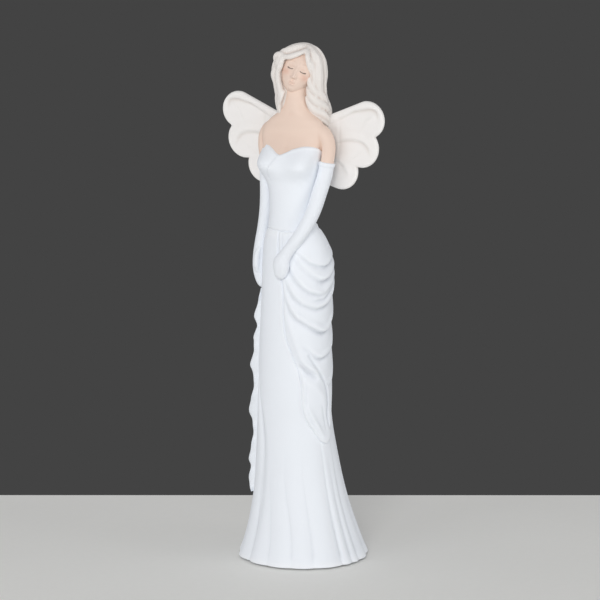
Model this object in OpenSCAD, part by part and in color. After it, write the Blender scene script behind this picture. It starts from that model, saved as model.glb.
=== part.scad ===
// Standing angel figurine, assembled from resin castings, steel pins and a felt pad.
// Millimetres. +Z is up, the figure faces -Y, her left side is +X.
// The origin is the centre of the felt pad's resting face.
// Angles round the body start at the front and grow towards her left.

/* [Gown] */
// Height of the gown casting, from the hem to the waist seam
gown_h = 194; // [165:1:235]
// Hem across, at the floor
hem_d = 75; // [64:1:92]
// Width of the straight column between the knees and the thighs
column_w = 41; // [36:1:50]
// Width at the hips
hip_w = 42.5; // [37:1:52]
// Width at the waist seam
waist_w = 28; // [24:1:34]
// Number of flutes round the hem
flutes = 15; // [9:1:18]
// Depth of a flute at the hem
flute_depth = 1.3; // [0:0.1:2]
// Thickness of the overskirt drape at its folds
drape_t = 2.4; // [1.4:0.1:3.2]
// Width of the frill down her right side
frill_w = 5.5; // [4:0.5:8]

/* [Torso] */
// Height of the torso, from the waist seam to the base of the neck
torso_h = 67; // [58:1:80]
// Width across the bust
bust_w = 33; // [29:0.5:36]
// Width across the bare shoulders, without the arms
shoulder_w = 35; // [31:1:42]
// Thickness of the bodice's cup over the chest
bodice_t = 0.9; // [0.6:0.1:1.4]
// Neck across
neck_d = 11.4; // [9.5:0.1:13.5]
// Length of the neck, from its base to the cut under the jaw
neck_l = 9; // [7.5:0.5:11]

/* [Head] */
// Height of the head, from the chin to the crown
head_h = 26; // [22:0.5:31]
// Width of the head at the temples
head_w = 19.5; // [16.5:0.5:23]
// Lean of the head towards her left shoulder
head_roll = 17; // [0:1:24]
// Turn of the head towards her left
head_yaw = 18; // [0:1:30]
// Lean of the head backwards
head_pitch = 14; // [0:1:20]
// Thickness of the hair at the sides
hair_t = 4.2; // [3.2:0.1:5.4]
// Thickness of the hair on the crown
hair_crown_t = 2.3; // [1.6:0.1:3.2]
// How far the hair falls below the jaw
hair_fall = 13; // [9:0.5:14]

/* [Arms] */
// Gloved arm across
arm_d = 8.2; // [6.8:0.1:9.8]
// Bare upper arm across
bare_arm_d = 7.6; // [6.3:0.1:9]

/* [Wings] */
// Wing tip to wing tip
wing_span = 104; // [87:1:125]
// Height of a wing
wing_h = 51.5; // [43:0.5:62]
// Thickness of a wing at its rim
wing_t = 3.2; // [2.7:0.1:4]
// Width of the raised rim round each lobe
wing_rim = 3; // [2:0.25:4]
// Depth of the hollow inside the rim
wing_panel = 0.8; // [0.4:0.1:1.2]

/* [Fittings] */
// Thickness of the felt pad
felt_t = 1; // [0.8:0.1:1.6]
// How far the felt pad and the base plate stay inside the hem
hem_lip = 4; // [3:0.5:6]
// Thickness of the base plate
plate_t = 3; // [2:0.5:4]
// Height of the hollow in the gown, above the base plate
hollow_h = 48; // [30:1:60]
// Resin wall round the hollow
wall = 5; // [4:0.5:7]
// Waist dowel across
dowel_d = 6; // [5:0.5:7]
// Length of the waist dowel
dowel_l = 26; // [20:1:32]
// Steel pins across
pin_d = 2; // [1.6:0.1:2.4]
// Length of the steel pins
pin_l = 9; // [7:0.5:11]
// Length of the neck pin
neck_pin_l = 16; // [12:1:20]
// Glue gap between two castings
glue_gap = 0.1; // [0.05:0.05:0.3]
// Gap between the chest and the bodice's cup
cup_gap = 0.25; // [0.2:0.05:0.4]
// Radial clearance of a pin or dowel in its bore
pin_clear = 0.05; // [0.03:0.01:0.1]
// Space that the hands keep from the gown
rest_gap = 0.3; // [0.2:0.1:0.6]

/* [Hidden] */
round_fn = 64;
LEFT = 1;
RIGHT = -1;

gown_colour = [0.93, 0.94, 0.97];
skin_colour = [0.93, 0.82, 0.74];
hair_colour = [0.88, 0.85, 0.81];
wing_colour = [0.93, 0.92, 0.90];
steel_colour = [0.68, 0.69, 0.71];
wood_colour = [0.72, 0.58, 0.42];
felt_colour = [0.82, 0.82, 0.80];

// Levels up the figure
hem_z = felt_t;
waist_z = hem_z + gown_h;
neck_z = waist_z + torso_h;
jaw_z = neck_z + neck_l;

// ---- Body sections ----
// A section row is [height, x, y, half width, depth in front, depth behind].
function gown_row(share, x, y, width, front, back) =
    [hem_z + share * gown_h, x, y, width / 2, front, back];
gown_rows = [
    gown_row(0.000,  0.0,  0.0, hem_d, hem_d / 2, hem_d / 2 + 1),
    gown_row(0.036, -0.2, -0.3, hem_d * 0.92, hem_d * 0.455, hem_d * 0.48),
    gown_row(0.098, -0.4, -1.0, hem_d * 0.82, hem_d * 0.39, hem_d * 0.43),
    gown_row(0.165, -0.6, -2.2, hem_d * 0.725, hem_d * 0.335, hem_d * 0.385),
    gown_row(0.232, -0.7, -3.4, hem_d * 0.665, hem_d * 0.30, hem_d * 0.35),
    gown_row(0.304, -0.8, -4.8, column_w * 1.12, column_w * 0.50, column_w * 0.60),
    gown_row(0.407, -0.9, -6.8, column_w * 1.04, column_w * 0.44, column_w * 0.535),
    gown_row(0.510, -1.0, -7.8, column_w, column_w * 0.41, column_w * 0.49),
    gown_row(0.640, -1.0, -7.7, column_w * 0.98, column_w * 0.39, column_w * 0.47),
    gown_row(0.768, -0.9, -6.8, hip_w * 0.95, hip_w * 0.365, hip_w * 0.46),
    gown_row(0.861, -0.8, -6.0, hip_w * 0.975, hip_w * 0.355, hip_w * 0.475),
    gown_row(0.923, -1.2, -6.5, hip_w * 0.925, hip_w * 0.335, hip_w * 0.43),
    gown_row(0.964, -1.8, -7.6, hip_w * 0.79, hip_w * 0.30, hip_w * 0.36),
    gown_row(1.000, -2.6, -9.0, waist_w, waist_w * 0.42, waist_w * 0.42)];

function torso_row(share, x, y, width, front, back) =
    [waist_z + share * torso_h, x, y, width / 2, front, back];
torso_rows = [
    torso_row(0.00, -2.6, -9.0, waist_w, waist_w * 0.42, waist_w * 0.42),
    torso_row(0.12, -2.5, -9.0, waist_w * 0.95, waist_w * 0.39, waist_w * 0.38),
    torso_row(0.27, -2.2, -8.8, waist_w * 0.96, waist_w * 0.39, waist_w * 0.36),
    torso_row(0.40, -1.8, -8.4, bust_w * 0.90, bust_w * 0.37, bust_w * 0.30),
    torso_row(0.54, -1.5, -7.8, bust_w * 0.93, bust_w * 0.43, bust_w * 0.285),
    torso_row(0.66, -1.3, -7.2, bust_w, bust_w * 0.38, bust_w * 0.265),
    torso_row(0.76, -1.1, -6.6, shoulder_w * 1.16, shoulder_w * 0.265, shoulder_w * 0.215),
    torso_row(0.85, -1.0, -6.4, shoulder_w * 1.13, shoulder_w * 0.22, shoulder_w * 0.20),
    torso_row(0.92, -1.0, -6.4, shoulder_w * 0.97, shoulder_w * 0.18, shoulder_w * 0.19),
    torso_row(0.97, -1.1, -6.5, shoulder_w * 0.68, neck_d * 0.53, neck_d * 0.58),
    torso_row(1.02, -1.2, -6.7, neck_d * 1.32, neck_d * 0.50, neck_d * 0.57),
    torso_row(1.08, -1.1, -6.5, neck_d * 1.02, neck_d * 0.48, neck_d * 0.54),
    [jaw_z + 2, -0.9, -6.0, neck_d / 2, neck_d * 0.48, neck_d * 0.52]];

function row_below(rows, z, i = 0) =
    i >= len(rows) - 2 || z < rows[i + 1][0] ? i : row_below(rows, z, i + 1);
function row_slope(rows, i) =
    let (a = max(i - 1, 0), b = min(i + 1, len(rows) - 1))
    (rows[b] - rows[a]) / (rows[b][0] - rows[a][0]);
// The section at height z, on a cubic curve through the rows
function section(rows, z) =
    let (i = row_below(rows, z), h = rows[i + 1][0] - rows[i][0], t = (z - rows[i][0]) / h)
    rows[i] * (2 * t ^ 3 - 3 * t ^ 2 + 1) + row_slope(rows, i) * h * (t ^ 3 - 2 * t ^ 2 + t)
    + rows[i + 1] * (3 * t ^ 2 - 2 * t ^ 3) + row_slope(rows, i + 1) * h * (t ^ 3 - t ^ 2);

// A point on a section's outline, moved out by grow
function on_section(s, angle, z, grow = 0) =
    let (depth = cos(angle) > 0 ? s[4] : s[5])
    [s[1] + (s[3] + grow) * sin(angle), s[2] - (depth + grow) * cos(angle), z];

function bump(x) = exp(-x * x);
function ease(x) = let (t = min(1, max(0, x))) t * t * (3 - 2 * t);

// Flutes grow from the knees down to the hem.
flute_top = hem_z + 0.36 * gown_h;
function gown_point(angle, z, grow = 0) =
    let (flute = flute_depth * ease((flute_top - z) / (flute_top - hem_z)) * cos(flutes * angle))
    on_section(section(gown_rows, z), angle, z, grow + flute);

// The bust rises in two rounds, one each side of the middle.
bust_z = waist_z + 0.55 * torso_h;
bust_rise = 5;
function bust_swell(angle, z) = bust_rise * bump((z - bust_z) / 7.5)
    * (bump((angle - 34) / 24) + bump((angle + 34) / 24));
function wrap(angle) = angle > 180 ? angle - 360 : angle;
function torso_point(angle, z, grow = 0) =
    on_section(section(torso_rows, z), angle, z, grow + bust_swell(wrap(angle), z));

// ---- Builders ----
// Closed solid through rings of equal count, with a fan over the first and the last ring
module skin(rings) {
    m = len(rings);
    n = len(rings[0]);
    middle = function(ring) [for (p = ring) 1] * ring / n;
    points = [for (ring = rings) each ring, middle(rings[0]), middle(rings[m - 1])];
    sides = [for (i = [0 : m - 2], j = [0 : n - 1])
        let (a = i * n + j, b = i * n + (j + 1) % n) each [[a, a + n, b], [b, a + n, b + n]]];
    ends = [for (j = [0 : n - 1]) let (k = (j + 1) % n)
        each [[m * n, j, k], [m * n + 1, (m - 1) * n + k, (m - 1) * n + j]]];
    polyhedron(points, concat(sides, ends));
}

// Closed sheet between two grids of equal rows and columns: the outer face and the inner one
module sheet(outer, inner) {
    m = len(outer);
    n = len(outer[0]);
    k = m * n;
    faces = [for (i = [0 : m - 2], j = [0 : n - 2]) let (a = i * n + j)
        each [[a, a + n, a + 1], [a + 1, a + n, a + n + 1],
              [k + a, k + a + 1, k + a + n], [k + a + 1, k + a + n + 1, k + a + n]]];
    rims = [for (i = [0 : m - 2]) let (a = i * n, b = i * n + n - 1)
        each [[a, k + a, a + n], [a + n, k + a, k + a + n],
              [b, b + n, k + b], [b + n, k + b + n, k + b]]];
    ends = [for (j = [0 : n - 2]) let (c = (m - 1) * n + j)
        each [[j, j + 1, k + j], [j + 1, k + j + 1, k + j],
              [c, k + c, c + 1], [c + 1, k + c, k + c + 1]]];
    polyhedron([each [for (row = outer) each row], each [for (row = inner) each row]],
               concat(faces, rims, ends));
}

function unit(v) = v / norm(v);
// Rings along a path of [point, radius across, radius front to back], square to the path
function tube_rings(path, n) =
    [for (i = [0 : len(path) - 1])
        let (d = unit(path[min(i + 1, len(path) - 1)][0] - path[max(i - 1, 0)][0]),
             side = unit(cross(d, [0, 1, 0])), front = cross(d, side))
        [for (j = [0 : n - 1]) let (a = 360 * j / n)
            path[i][0] + path[i][1] * cos(a) * side + path[i][2] * sin(a) * front]];

// ---- Gown ----
gown_sides = 4 * flutes;
gown_steps = 22;
gown_middle = section(gown_rows, hem_z + plate_t + hollow_h);
plate_r = hem_d / 2 - hem_lip - 1;

module waist_bore() {
    s = section(gown_rows, waist_z);
    translate([s[1], s[2], waist_z - dowel_l / 2 - glue_gap])
        cylinder(h = dowel_l + 2 * glue_gap, d = dowel_d + 2 * pin_clear, $fn = round_fn);
}

module gown_skirt() {
    top = waist_z - glue_gap / 2;
    color(gown_colour) difference() {
        skin([for (i = [0 : gown_steps])
            let (t = i / gown_steps, z = hem_z + (top - hem_z) * (0.35 * t + 0.65 * t * t * (3 - 2 * t)))
            [for (j = [0 : gown_sides - 1]) gown_point(360 * j / gown_sides, z)]]);
        translate([0, 0, hem_z - 1])
            cylinder(h = plate_t + 1, r = plate_r + glue_gap, $fn = round_fn);
        translate([0, gown_middle[2] / 2, hem_z + plate_t - 0.01])
            cylinder(h = hollow_h, r1 = plate_r - wall, r2 = gown_middle[4] - wall, $fn = round_fn);
        waist_bore();
    }
}

module base_plate() {
    color(wood_colour) translate([0, 0, hem_z])
        cylinder(h = plate_t - glue_gap, r = plate_r, $fn = round_fn);
}

module felt_pad() {
    color(felt_colour) cylinder(h = felt_t, r = hem_d / 2 - hem_lip, $fn = round_fn);
}

module waist_dowel() {
    s = section(gown_rows, waist_z);
    color(wood_colour) translate([s[1], s[2], waist_z - dowel_l / 2])
        cylinder(h = dowel_l, d = dowel_d, $fn = round_fn);
}

// ---- Overskirt drape: hangs in swags from her left hand round to the back ----
drape_start = 4;
drape_end = 165;
drape_low = 73;
drape_top_z = waist_z - 15;
drape_fall = 0.58 * gown_h;
drape_fold = 13;
drape_cols = 24;
drape_rows = 20;
// How far the swag lines hang at an angle, as a share of their lowest
function swag(angle) = angle < drape_low
    ? sin(24 + 66 * (angle - drape_start) / (drape_low - drape_start))
    : 1 - 0.55 * ease((angle - drape_low) / (drape_end - drape_low));
// The lower edge falls from the hand to a tip, and rises again behind it.
function drape_edge(angle) =
    let (ahead = (angle - drape_start) / (drape_low - drape_start),
         behind = (angle - drape_low) / (drape_end - drape_low),
         rise = 0.68 - 0.36 * behind)
    angle < drape_low ? 0.40 + 0.60 * ahead : rise + (1 - rise) * bump((angle - drape_low) / 9);
function drape_point(angle, z, grow) =
    let (sag = (drape_top_z - z) / swag(angle), fold = 0.5 + 0.5 * cos(360 * sag / drape_fold))
    gown_point(angle, z, grow * (0.4 + 0.6 * fold) + glue_gap);

module overskirt_drape() {
    function z_at(angle, t) = let (top = drape_top_z - 3 * swag(angle))
        top + (drape_top_z - drape_fall * drape_edge(angle) - top) * t;
    function grid(grow) = [for (i = [0 : drape_rows])
        [for (j = [0 : drape_cols])
            let (a = drape_start + (drape_end - drape_start) * j / drape_cols)
            drape_point(a, z_at(a, i / drape_rows), grow)]];
    color(gown_colour) sheet(grid(drape_t), grid(0));
}

// ---- Side frill: falls in waves from her right hand, along the flute nearest to it ----
frill_angle = -360 / flutes * round(flutes * 75 / 360);
frill_out = [sin(frill_angle), -cos(frill_angle), 0];
frill_along = [-cos(frill_angle), -sin(frill_angle), 0];
frill_top_z = hem_z + 0.80 * gown_h;
frill_low_z = hem_z + 0.21 * gown_h;
frill_t = 1.5;
frill_waves = 4.5;
frill_rows = 36;
// Its root stands out of the groove until its corners clear the walls beside it and the flat faces of the flare.
function frill_root(z) =
    let (here = gown_point(frill_angle, z, glue_gap),
         row = gown_h / gown_steps,
         flare = [for (side = [-1, 1]) (gown_point(frill_angle, z + side * row, glue_gap) - here) * frill_out],
         rise = [for (side = [-1, 1])
             let (wall = gown_point(frill_angle + side * 360 / gown_sides, z, glue_gap) - here)
             (wall * frill_out) * frill_t / 2 / abs(wall * frill_along)])
    here + (max(0, max(rise)) + max(0, (flare[0] + flare[1]) / 2)) * frill_out;

module side_frill() {
    function at(t, out, side) =
        let (z = frill_top_z + (frill_low_z - frill_top_z) * t,
             width = frill_w * (0.5 + 0.5 * ease(t * 6)) * (0.72 + 0.28 * sin(360 * frill_waves * t)),
             sway = 1.6 * sin(360 * frill_waves * t + 90) * out)
        frill_root(z) + width * out * frill_out + (sway + side * frill_t / 2) * frill_along;
    color(gown_colour) sheet(
        [for (i = [0 : frill_rows]) [for (k = [0 : 3]) at(i / frill_rows, k / 3, -1)]],
        [for (i = [0 : frill_rows]) [for (k = [0 : 3]) at(i / frill_rows, k / 3, 1)]]);
}

// ---- Bodice: solid to the ribs, and a cup above them that holds the chest ----
torso_sides = 48;
cup_floor_z = waist_z + 0.46 * torso_h;
// Sweetheart neckline: a dip in front, high over the bust, lower behind
function neckline(angle) =
    let (a = abs(wrap(angle)))
    waist_z + torso_h * (0.60 + 0.085 * ease(a / 30) - 0.10 * ease((a - 60) / 90));

module wing_bores(side) {
    for (p = wing_pin_places) translate([torso_x + side * p[0], wing_face_y, waist_z + p[1]])
        rotate([90, 0, 0]) translate([0, 0, -wing_bore_depth])
            cylinder(h = pin_l + 2 * glue_gap, d = pin_d + 2 * pin_clear, $fn = round_fn);
}

// The cup's inner face and the chest that sits in it go through the same heights.
cup_steps = 6;
function cup_z(angle, i) = cup_floor_z + (neckline(angle) - cup_floor_z) * i / cup_steps;

module bodice() {
    low = waist_z + glue_gap / 2;
    up = [0, 0.14, 0.3, 0.45, 0.58, 0.69, 0.79, 0.88, 0.95, 1];
    outer = [for (t = up) [for (j = [0 : torso_sides - 1]) let (a = 360 * j / torso_sides)
        torso_point(a, low + (neckline(a) - low) * t)]];
    inner = [for (i = [cup_steps : -1 : 0]) [for (j = [0 : torso_sides - 1])
        let (a = 360 * j / torso_sides) torso_point(a, cup_z(a, i), -bodice_t)]];
    color(gown_colour) difference() {
        skin(concat(outer, inner));
        waist_bore();
        wing_bores(LEFT);
        wing_bores(RIGHT);
    }
}

// ---- Shoulders: chest and neck, cut flat at the sides for the arms ----
torso_x = -1.2;
arm_joint_x = shoulder_w / 2;
arm_joint_z = waist_z + 0.72 * torso_h;
arm_joint_y = -6.2;

module arm_bore(side) {
    translate([torso_x + side * arm_joint_x, arm_joint_y, arm_joint_z]) rotate([0, 90, 0])
        cylinder(h = pin_l + 2 * glue_gap, d = pin_d + 2 * pin_clear, center = true, $fn = round_fn);
}

module neck_bore() {
    translate([-1, -6, jaw_z - neck_pin_l / 2 - glue_gap])
        cylinder(h = neck_pin_l + 2 * glue_gap, d = pin_d + 2 * pin_clear, $fn = round_fn);
}

module shoulders() {
    steps = 14;
    top = jaw_z - glue_gap;
    function ring(lift, z_at) = [for (j = [0 : torso_sides - 1]) let (a = 360 * j / torso_sides)
        torso_point(a, z_at(a), -bodice_t - cup_gap) + [0, 0, lift]];
    in_cup = [for (i = [0 : cup_steps - 1]) ring(i == 0 ? cup_gap : 0, function(a) cup_z(a, i))];
    bare = [for (i = [0 : steps])
        ring(0, function(a) neckline(a) + (top - neckline(a)) * i / steps)];
    color(skin_colour) difference() {
        skin(concat(in_cup, bare));
        for (side = [LEFT, RIGHT]) {
            translate([torso_x + side * (arm_joint_x + 20), arm_joint_y, arm_joint_z])
                cube([40, 60, 60], center = true);
            arm_bore(side);
            wing_bores(side);
        }
        neck_bore();
    }
}

module neck_pin() {
    color(steel_colour) translate([-1, -6, jaw_z - neck_pin_l / 2])
        cylinder(h = neck_pin_l, d = pin_d, $fn = round_fn);
}

// ---- Arms ----
// An arm point is [height, angle round the torso or gown, distance of its middle from that surface, x scale, y scale].
glove_z = waist_z + 0.55 * torso_h;
arm_r = arm_d / 2;
bare_r = bare_arm_d / 2;
function beside_torso(z, angle, out) = torso_point(angle, z, 0) + out * [sin(angle), -cos(angle), 0];
function beside_gown(z, angle, out) = gown_point(angle, z, 0) + out * [sin(angle), -cos(angle), 0];

function cuff_point(side) =
    [torso_x + side * (arm_joint_x + 0.66 * arm_r), arm_joint_y - (side == LEFT ? 0.8 : -0.4), glove_z];
function shoulder_path(side) =
    let (joint = [torso_x + side * (arm_joint_x + 3), arm_joint_y, arm_joint_z],
         cuff = cuff_point(side))
    [[joint + [-side * 3.4, 0, 10.4], bare_r * 0.55, bare_r * 0.55],
     [joint + [-side * 2.1, 0, 8], bare_r * 0.88, bare_r * 0.9],
     [joint + [-side * 0.8, 0, 4.5], bare_r * 1.04, bare_r * 1.06],
     [joint, bare_r * 1.04, bare_r * 1.06],
     [(joint + cuff) / 2, bare_r, bare_r],
     [cuff, bare_r * 0.97, bare_r * 0.97]];

module upper_arm(side) {
    color(skin_colour) difference() {
        skin(tube_rings(shoulder_path(side), 20));
        translate([torso_x + side * (arm_joint_x - 20 + glue_gap), arm_joint_y, arm_joint_z])
            cube([40, 60, 60], center = true);
        translate([torso_x + side * arm_joint_x, arm_joint_y, glove_z - 10 + glue_gap])
            cube([60, 60, 20], center = true);
        arm_bore(side);
    }
}

module arm_pins() {
    color(steel_colour) for (side = [LEFT, RIGHT])
        translate([torso_x + side * arm_joint_x, arm_joint_y, arm_joint_z]) rotate([0, 90, 0])
            cylinder(h = pin_l, d = pin_d, center = true, $fn = round_fn);
}

// Her left forearm crosses to the front of the gown, and the hand gathers the drape there.
function left_arm_path() =
    let (gap = arm_r + rest_gap)
    [[cuff_point(LEFT) + [0, 0, 0.3], arm_r, arm_r],
     [beside_torso(waist_z + 0.38 * torso_h, 86, gap + 0.4), arm_r, arm_r],
     [beside_torso(waist_z + 0.22 * torso_h, 74, gap), arm_r, arm_r],
     [beside_torso(waist_z + 0.13 * torso_h, 64, gap), arm_r * 0.98, arm_r * 0.98],
     [beside_torso(waist_z + 0.05 * torso_h, 52, gap), arm_r * 0.94, arm_r * 0.94],
     [beside_gown(waist_z - 5, 32, gap), arm_r * 0.9, arm_r * 0.9],
     [beside_gown(waist_z - 12, 10, gap + drape_t), arm_r * 0.85, arm_r * 0.85],
     [beside_gown(waist_z - 19, 0, gap + drape_t), arm_r, arm_r * 0.85],
     [beside_gown(waist_z - 26, -3, gap + drape_t * 0.7), arm_r * 0.95, arm_r * 0.75],
     [beside_gown(waist_z - 31, -3, gap + drape_t * 0.3), arm_r * 0.5, arm_r * 0.4]];

// Her right arm hangs, with the hand on the side of the gown above the frill.
function right_arm_path() =
    let (gap = arm_r + rest_gap)
    [[cuff_point(RIGHT) + [0, 0, 0.3], arm_r, arm_r],
     [beside_torso(waist_z + 0.36 * torso_h, -100, gap + 0.6), arm_r, arm_r],
     [beside_torso(waist_z + 0.14 * torso_h, -108, gap + 0.8), arm_r * 0.96, arm_r * 0.96],
     [beside_torso(waist_z + 1, -104, gap + 1.6), arm_r * 0.9, arm_r * 0.9],
     [beside_gown(waist_z - 8, -98, gap), arm_r * 0.82, arm_r * 0.82],
     [beside_gown(waist_z - 18, -94, gap - 0.6), arm_r * 0.8, arm_r * 0.95],
     [beside_gown(waist_z - 28, -94, gap - 0.6), arm_r * 0.75, arm_r * 0.95],
     [beside_gown(waist_z - 35, -94, gap - 1.6), arm_r * 0.4, arm_r * 0.5]];

module glove(path) {
    color(gown_colour) difference() {
        skin(tube_rings(path, 20));
        translate([0, arm_joint_y, glove_z + 10 - glue_gap / 2]) cube([90, 90, 20], center = true);
    }
}

// ---- Head ----
head_z = jaw_z + head_h / 2 + 0.6;
head_rings = 16;
head_sides = 32;
// Half width, front depth and back depth at a share of the head's half height, -1 at the chin, 1 at the crown
function head_section(t) =
    let (round = sqrt(max(0, 1 - t * t)), jaw = 1 - 0.26 * ease(-t * 1.25))
    [0, 0, head_h * 0.03 * t, head_w / 2 * round * jaw,
     head_w * 0.533 * round ^ 0.8 * (1 - 0.05 * ease(-t)), head_w * 0.56 * round * (1 - 0.42 * ease(-t * 1.2))];

module head_shape(grow = 0) {
    translate([0, -5, head_z]) rotate([0, 0, head_yaw]) rotate([0, head_roll, 0]) rotate([-head_pitch, 0, 0])
        skin([for (i = [0 : head_rings]) let (t = -cos(180 * (0.02 + 0.96 * i / head_rings)))
            [for (j = [0 : head_sides - 1])
                let (a = 360 * j / head_sides, nose = 2.4 * bump(wrap(a) / 11) * bump((t + 0.22) / 0.17))
                on_section(head_section(t), a, t * (head_h / 2 + grow), grow + nose)]]);
}

module head() {
    color(skin_colour) difference() {
        union() {
            head_shape();
            translate([-0.9, -6, jaw_z]) cylinder(h = 8, r = neck_d * 0.46, $fn = round_fn);
        }
        translate([0, 0, jaw_z - 20]) cube([80, 80, 40], center = true);
        neck_bore();
    }
}

// ---- Hair: one shell over the crown, open at the face, that falls behind the shoulders ----
hair_sides = 56;
hair_steps = 14;
hair_r = max(head_w / 2, neck_d * 0.82) + hair_t + 1;
hair_top_z = head_z + head_h / 2 + hair_crown_t;
hair_low_z = jaw_z - hair_fall;
// Middle and half width of the face opening, in degrees
face_turn = 19;
face_open = 40;
function hair_row(z, x, y, size, front = 1) =
    [z, x, y, hair_r * size, hair_r * size * front, hair_r * size];
hair_rows = [
    [hair_low_z, 0.8, -1.0, hair_r * 0.96, hair_r * 0.5, hair_r * 0.50],
    [jaw_z - 4, 0.5, -2.4, hair_r, hair_r * 0.8, hair_r * 0.66],
    hair_row(head_z - 0.40 * head_h, -0.3, -3.6, 0.99),
    hair_row(head_z - 0.08 * head_h, -0.5, -4.4, 1.02),
    hair_row(head_z + 0.14 * head_h, 0.2, -4.6, 0.99),
    hair_row(head_z + 0.32 * head_h, 1.1, -4.4, 0.87, 0.9),
    hair_row(head_z + 0.46 * head_h, 2.0, -4.2, 0.64, 0.9),
    hair_row(hair_top_z - 0.7, 2.8, -4.0, 0.36),
    hair_row(hair_top_z, 2.8, -4.0, 0.12)];
// The rim is the hairline over the forehead, rests on the shoulders at the sides and is lowest behind.
function hair_rim_z(angle) =
    let (off = abs(wrap(angle - face_turn)), hairline = head_z + 0.26 * head_h,
         ends = hair_low_z + 8 * ease((112 - off) / 40))
    hairline + (ends - hairline) * ease((off - face_open) / 12);
function hair_point(angle, t) =
    let (z = hair_top_z + (hair_rim_z(angle) - hair_top_z) * t ^ 1.5)
    on_section(section(hair_rows, z), angle, z);
// The inner face: nearer to the axis by the thickness at the sides, and lower on the crown
function hair_lining(angle, t) =
    let (p = hair_point(angle, t), s = section(hair_rows, p[2]),
         crown = ease((p[2] - head_z) / (hair_top_z - head_z)),
         ends = ease((jaw_z - p[2]) / hair_fall),
         keep = 1 - hair_t / hair_r * (1 - 0.6 * crown) * (1 - 0.35 * ends))
    [s[1] + keep * (p[0] - s[1]), s[2] + keep * (p[1] - s[2]), p[2] - hair_crown_t * crown];

module hair() {
    function ring(t) = [for (j = [0 : hair_sides - 1]) hair_point(360 * j / hair_sides, t)];
    function lining(t) = [for (j = [0 : hair_sides - 1]) hair_lining(360 * j / hair_sides, t)];
    color(hair_colour) skin([
        for (i = [0 : hair_steps]) lining(i / hair_steps),
        for (i = [0 : hair_steps]) ring(1 - i / hair_steps)]);
}

// ---- Wings ----
wing_face_y = torso_rows[4][2] + torso_rows[4][5] + 0.3;
wing_pin_places = [[5.5, 0.52 * torso_h], [5.5, 0.73 * torso_h]];
wing_bore_depth = wing_t - 1;
wing_x = -1.9;
wing_root_x = 2.5;
wing_low_z = waist_z + 21.5;
// Lobe ends as [x, z, radius], as shares of the half span and of the wing's height
wing_lobes = [[0.827, 0.828, 0.175], [0.755, 0.458, 0.178], [0.500, 0.186, 0.180]];
wing_roots = [[0.16, 0.62, 0.13], [0.16, 0.46, 0.14], [0.16, 0.32, 0.15]];

// The flat shape of one lobe, drawn in from its edge by an inset
module lobe(k, inset) {
    function disc(c) = [for (i = [0 : 23])
        [c[0] * wing_span / 2, c[1] * wing_h] + (c[2] * wing_span / 2 - inset) * [cos(15 * i), sin(15 * i)]];
    hull() {
        polygon(disc(wing_roots[k]));
        polygon(disc(wing_lobes[k]));
    }
}

// The flat shape of a wing, kept clear of the other wing
module wing_outline(inset) {
    intersection() {
        for (k = [0 : 2]) lobe(k, inset);
        translate([wing_root_x + inset, -5]) square([wing_span, wing_h + 10]);
    }
}

module wing(side) {
    color(wing_colour) difference() {
        translate([wing_x, wing_face_y + glue_gap + wing_t, wing_low_z]) rotate([90, 0, 0])
            mirror([side == LEFT ? 0 : 1, 0, 0]) difference() {
                linear_extrude(wing_t) wing_outline(0);
                translate([0, 0, wing_t - wing_panel]) linear_extrude(wing_t) wing_outline(wing_rim);
            }
        wing_bores(side);
    }
}

module wing_pins() {
    color(steel_colour) for (side = [LEFT, RIGHT], p = wing_pin_places)
        translate([torso_x + side * p[0], wing_face_y, waist_z + p[1]])
            rotate([90, 0, 0]) translate([0, 0, -wing_bore_depth + glue_gap])
                cylinder(h = pin_l, d = pin_d, $fn = round_fn);
}

felt_pad();
base_plate();
gown_skirt();
overskirt_drape();
side_frill();
waist_dowel();
bodice();
shoulders();
upper_arm(LEFT);  // left_upper_arm
upper_arm(RIGHT);  // right_upper_arm
arm_pins();
glove(left_arm_path());  // left_glove
glove(right_arm_path());  // right_glove
neck_pin();
head();
hair();
wing(LEFT);  // left_wing
wing(RIGHT);  // right_wing
wing_pins();
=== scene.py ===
import bpy
import numpy as np
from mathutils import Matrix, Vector


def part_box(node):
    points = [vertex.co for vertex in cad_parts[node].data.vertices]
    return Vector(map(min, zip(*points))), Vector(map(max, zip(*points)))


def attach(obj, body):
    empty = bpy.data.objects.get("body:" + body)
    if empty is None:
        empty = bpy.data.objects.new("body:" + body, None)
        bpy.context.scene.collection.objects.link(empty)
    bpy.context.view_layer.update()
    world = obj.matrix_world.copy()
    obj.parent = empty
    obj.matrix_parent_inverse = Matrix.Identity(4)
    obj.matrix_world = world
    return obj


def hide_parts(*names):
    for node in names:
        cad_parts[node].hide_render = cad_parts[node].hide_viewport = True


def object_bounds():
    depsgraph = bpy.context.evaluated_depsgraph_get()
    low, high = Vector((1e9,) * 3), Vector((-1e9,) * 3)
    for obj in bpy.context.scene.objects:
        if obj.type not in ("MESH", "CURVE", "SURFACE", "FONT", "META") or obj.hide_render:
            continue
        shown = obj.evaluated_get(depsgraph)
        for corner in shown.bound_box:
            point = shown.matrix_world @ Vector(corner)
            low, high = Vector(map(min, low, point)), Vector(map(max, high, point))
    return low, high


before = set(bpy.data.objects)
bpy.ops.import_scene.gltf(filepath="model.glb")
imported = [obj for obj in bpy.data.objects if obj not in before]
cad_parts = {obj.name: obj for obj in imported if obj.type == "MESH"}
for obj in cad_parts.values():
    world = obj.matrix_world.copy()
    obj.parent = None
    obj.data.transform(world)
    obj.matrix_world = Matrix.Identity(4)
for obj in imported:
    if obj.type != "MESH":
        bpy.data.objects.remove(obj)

cad_box = [list(corner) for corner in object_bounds()]
MODEL_HEIGHT = 300.0  # millimetres, as all sizes below
MM = (cad_box[1][2] - cad_box[0][2]) / MODEL_HEIGHT
BODY = "root"
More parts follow.
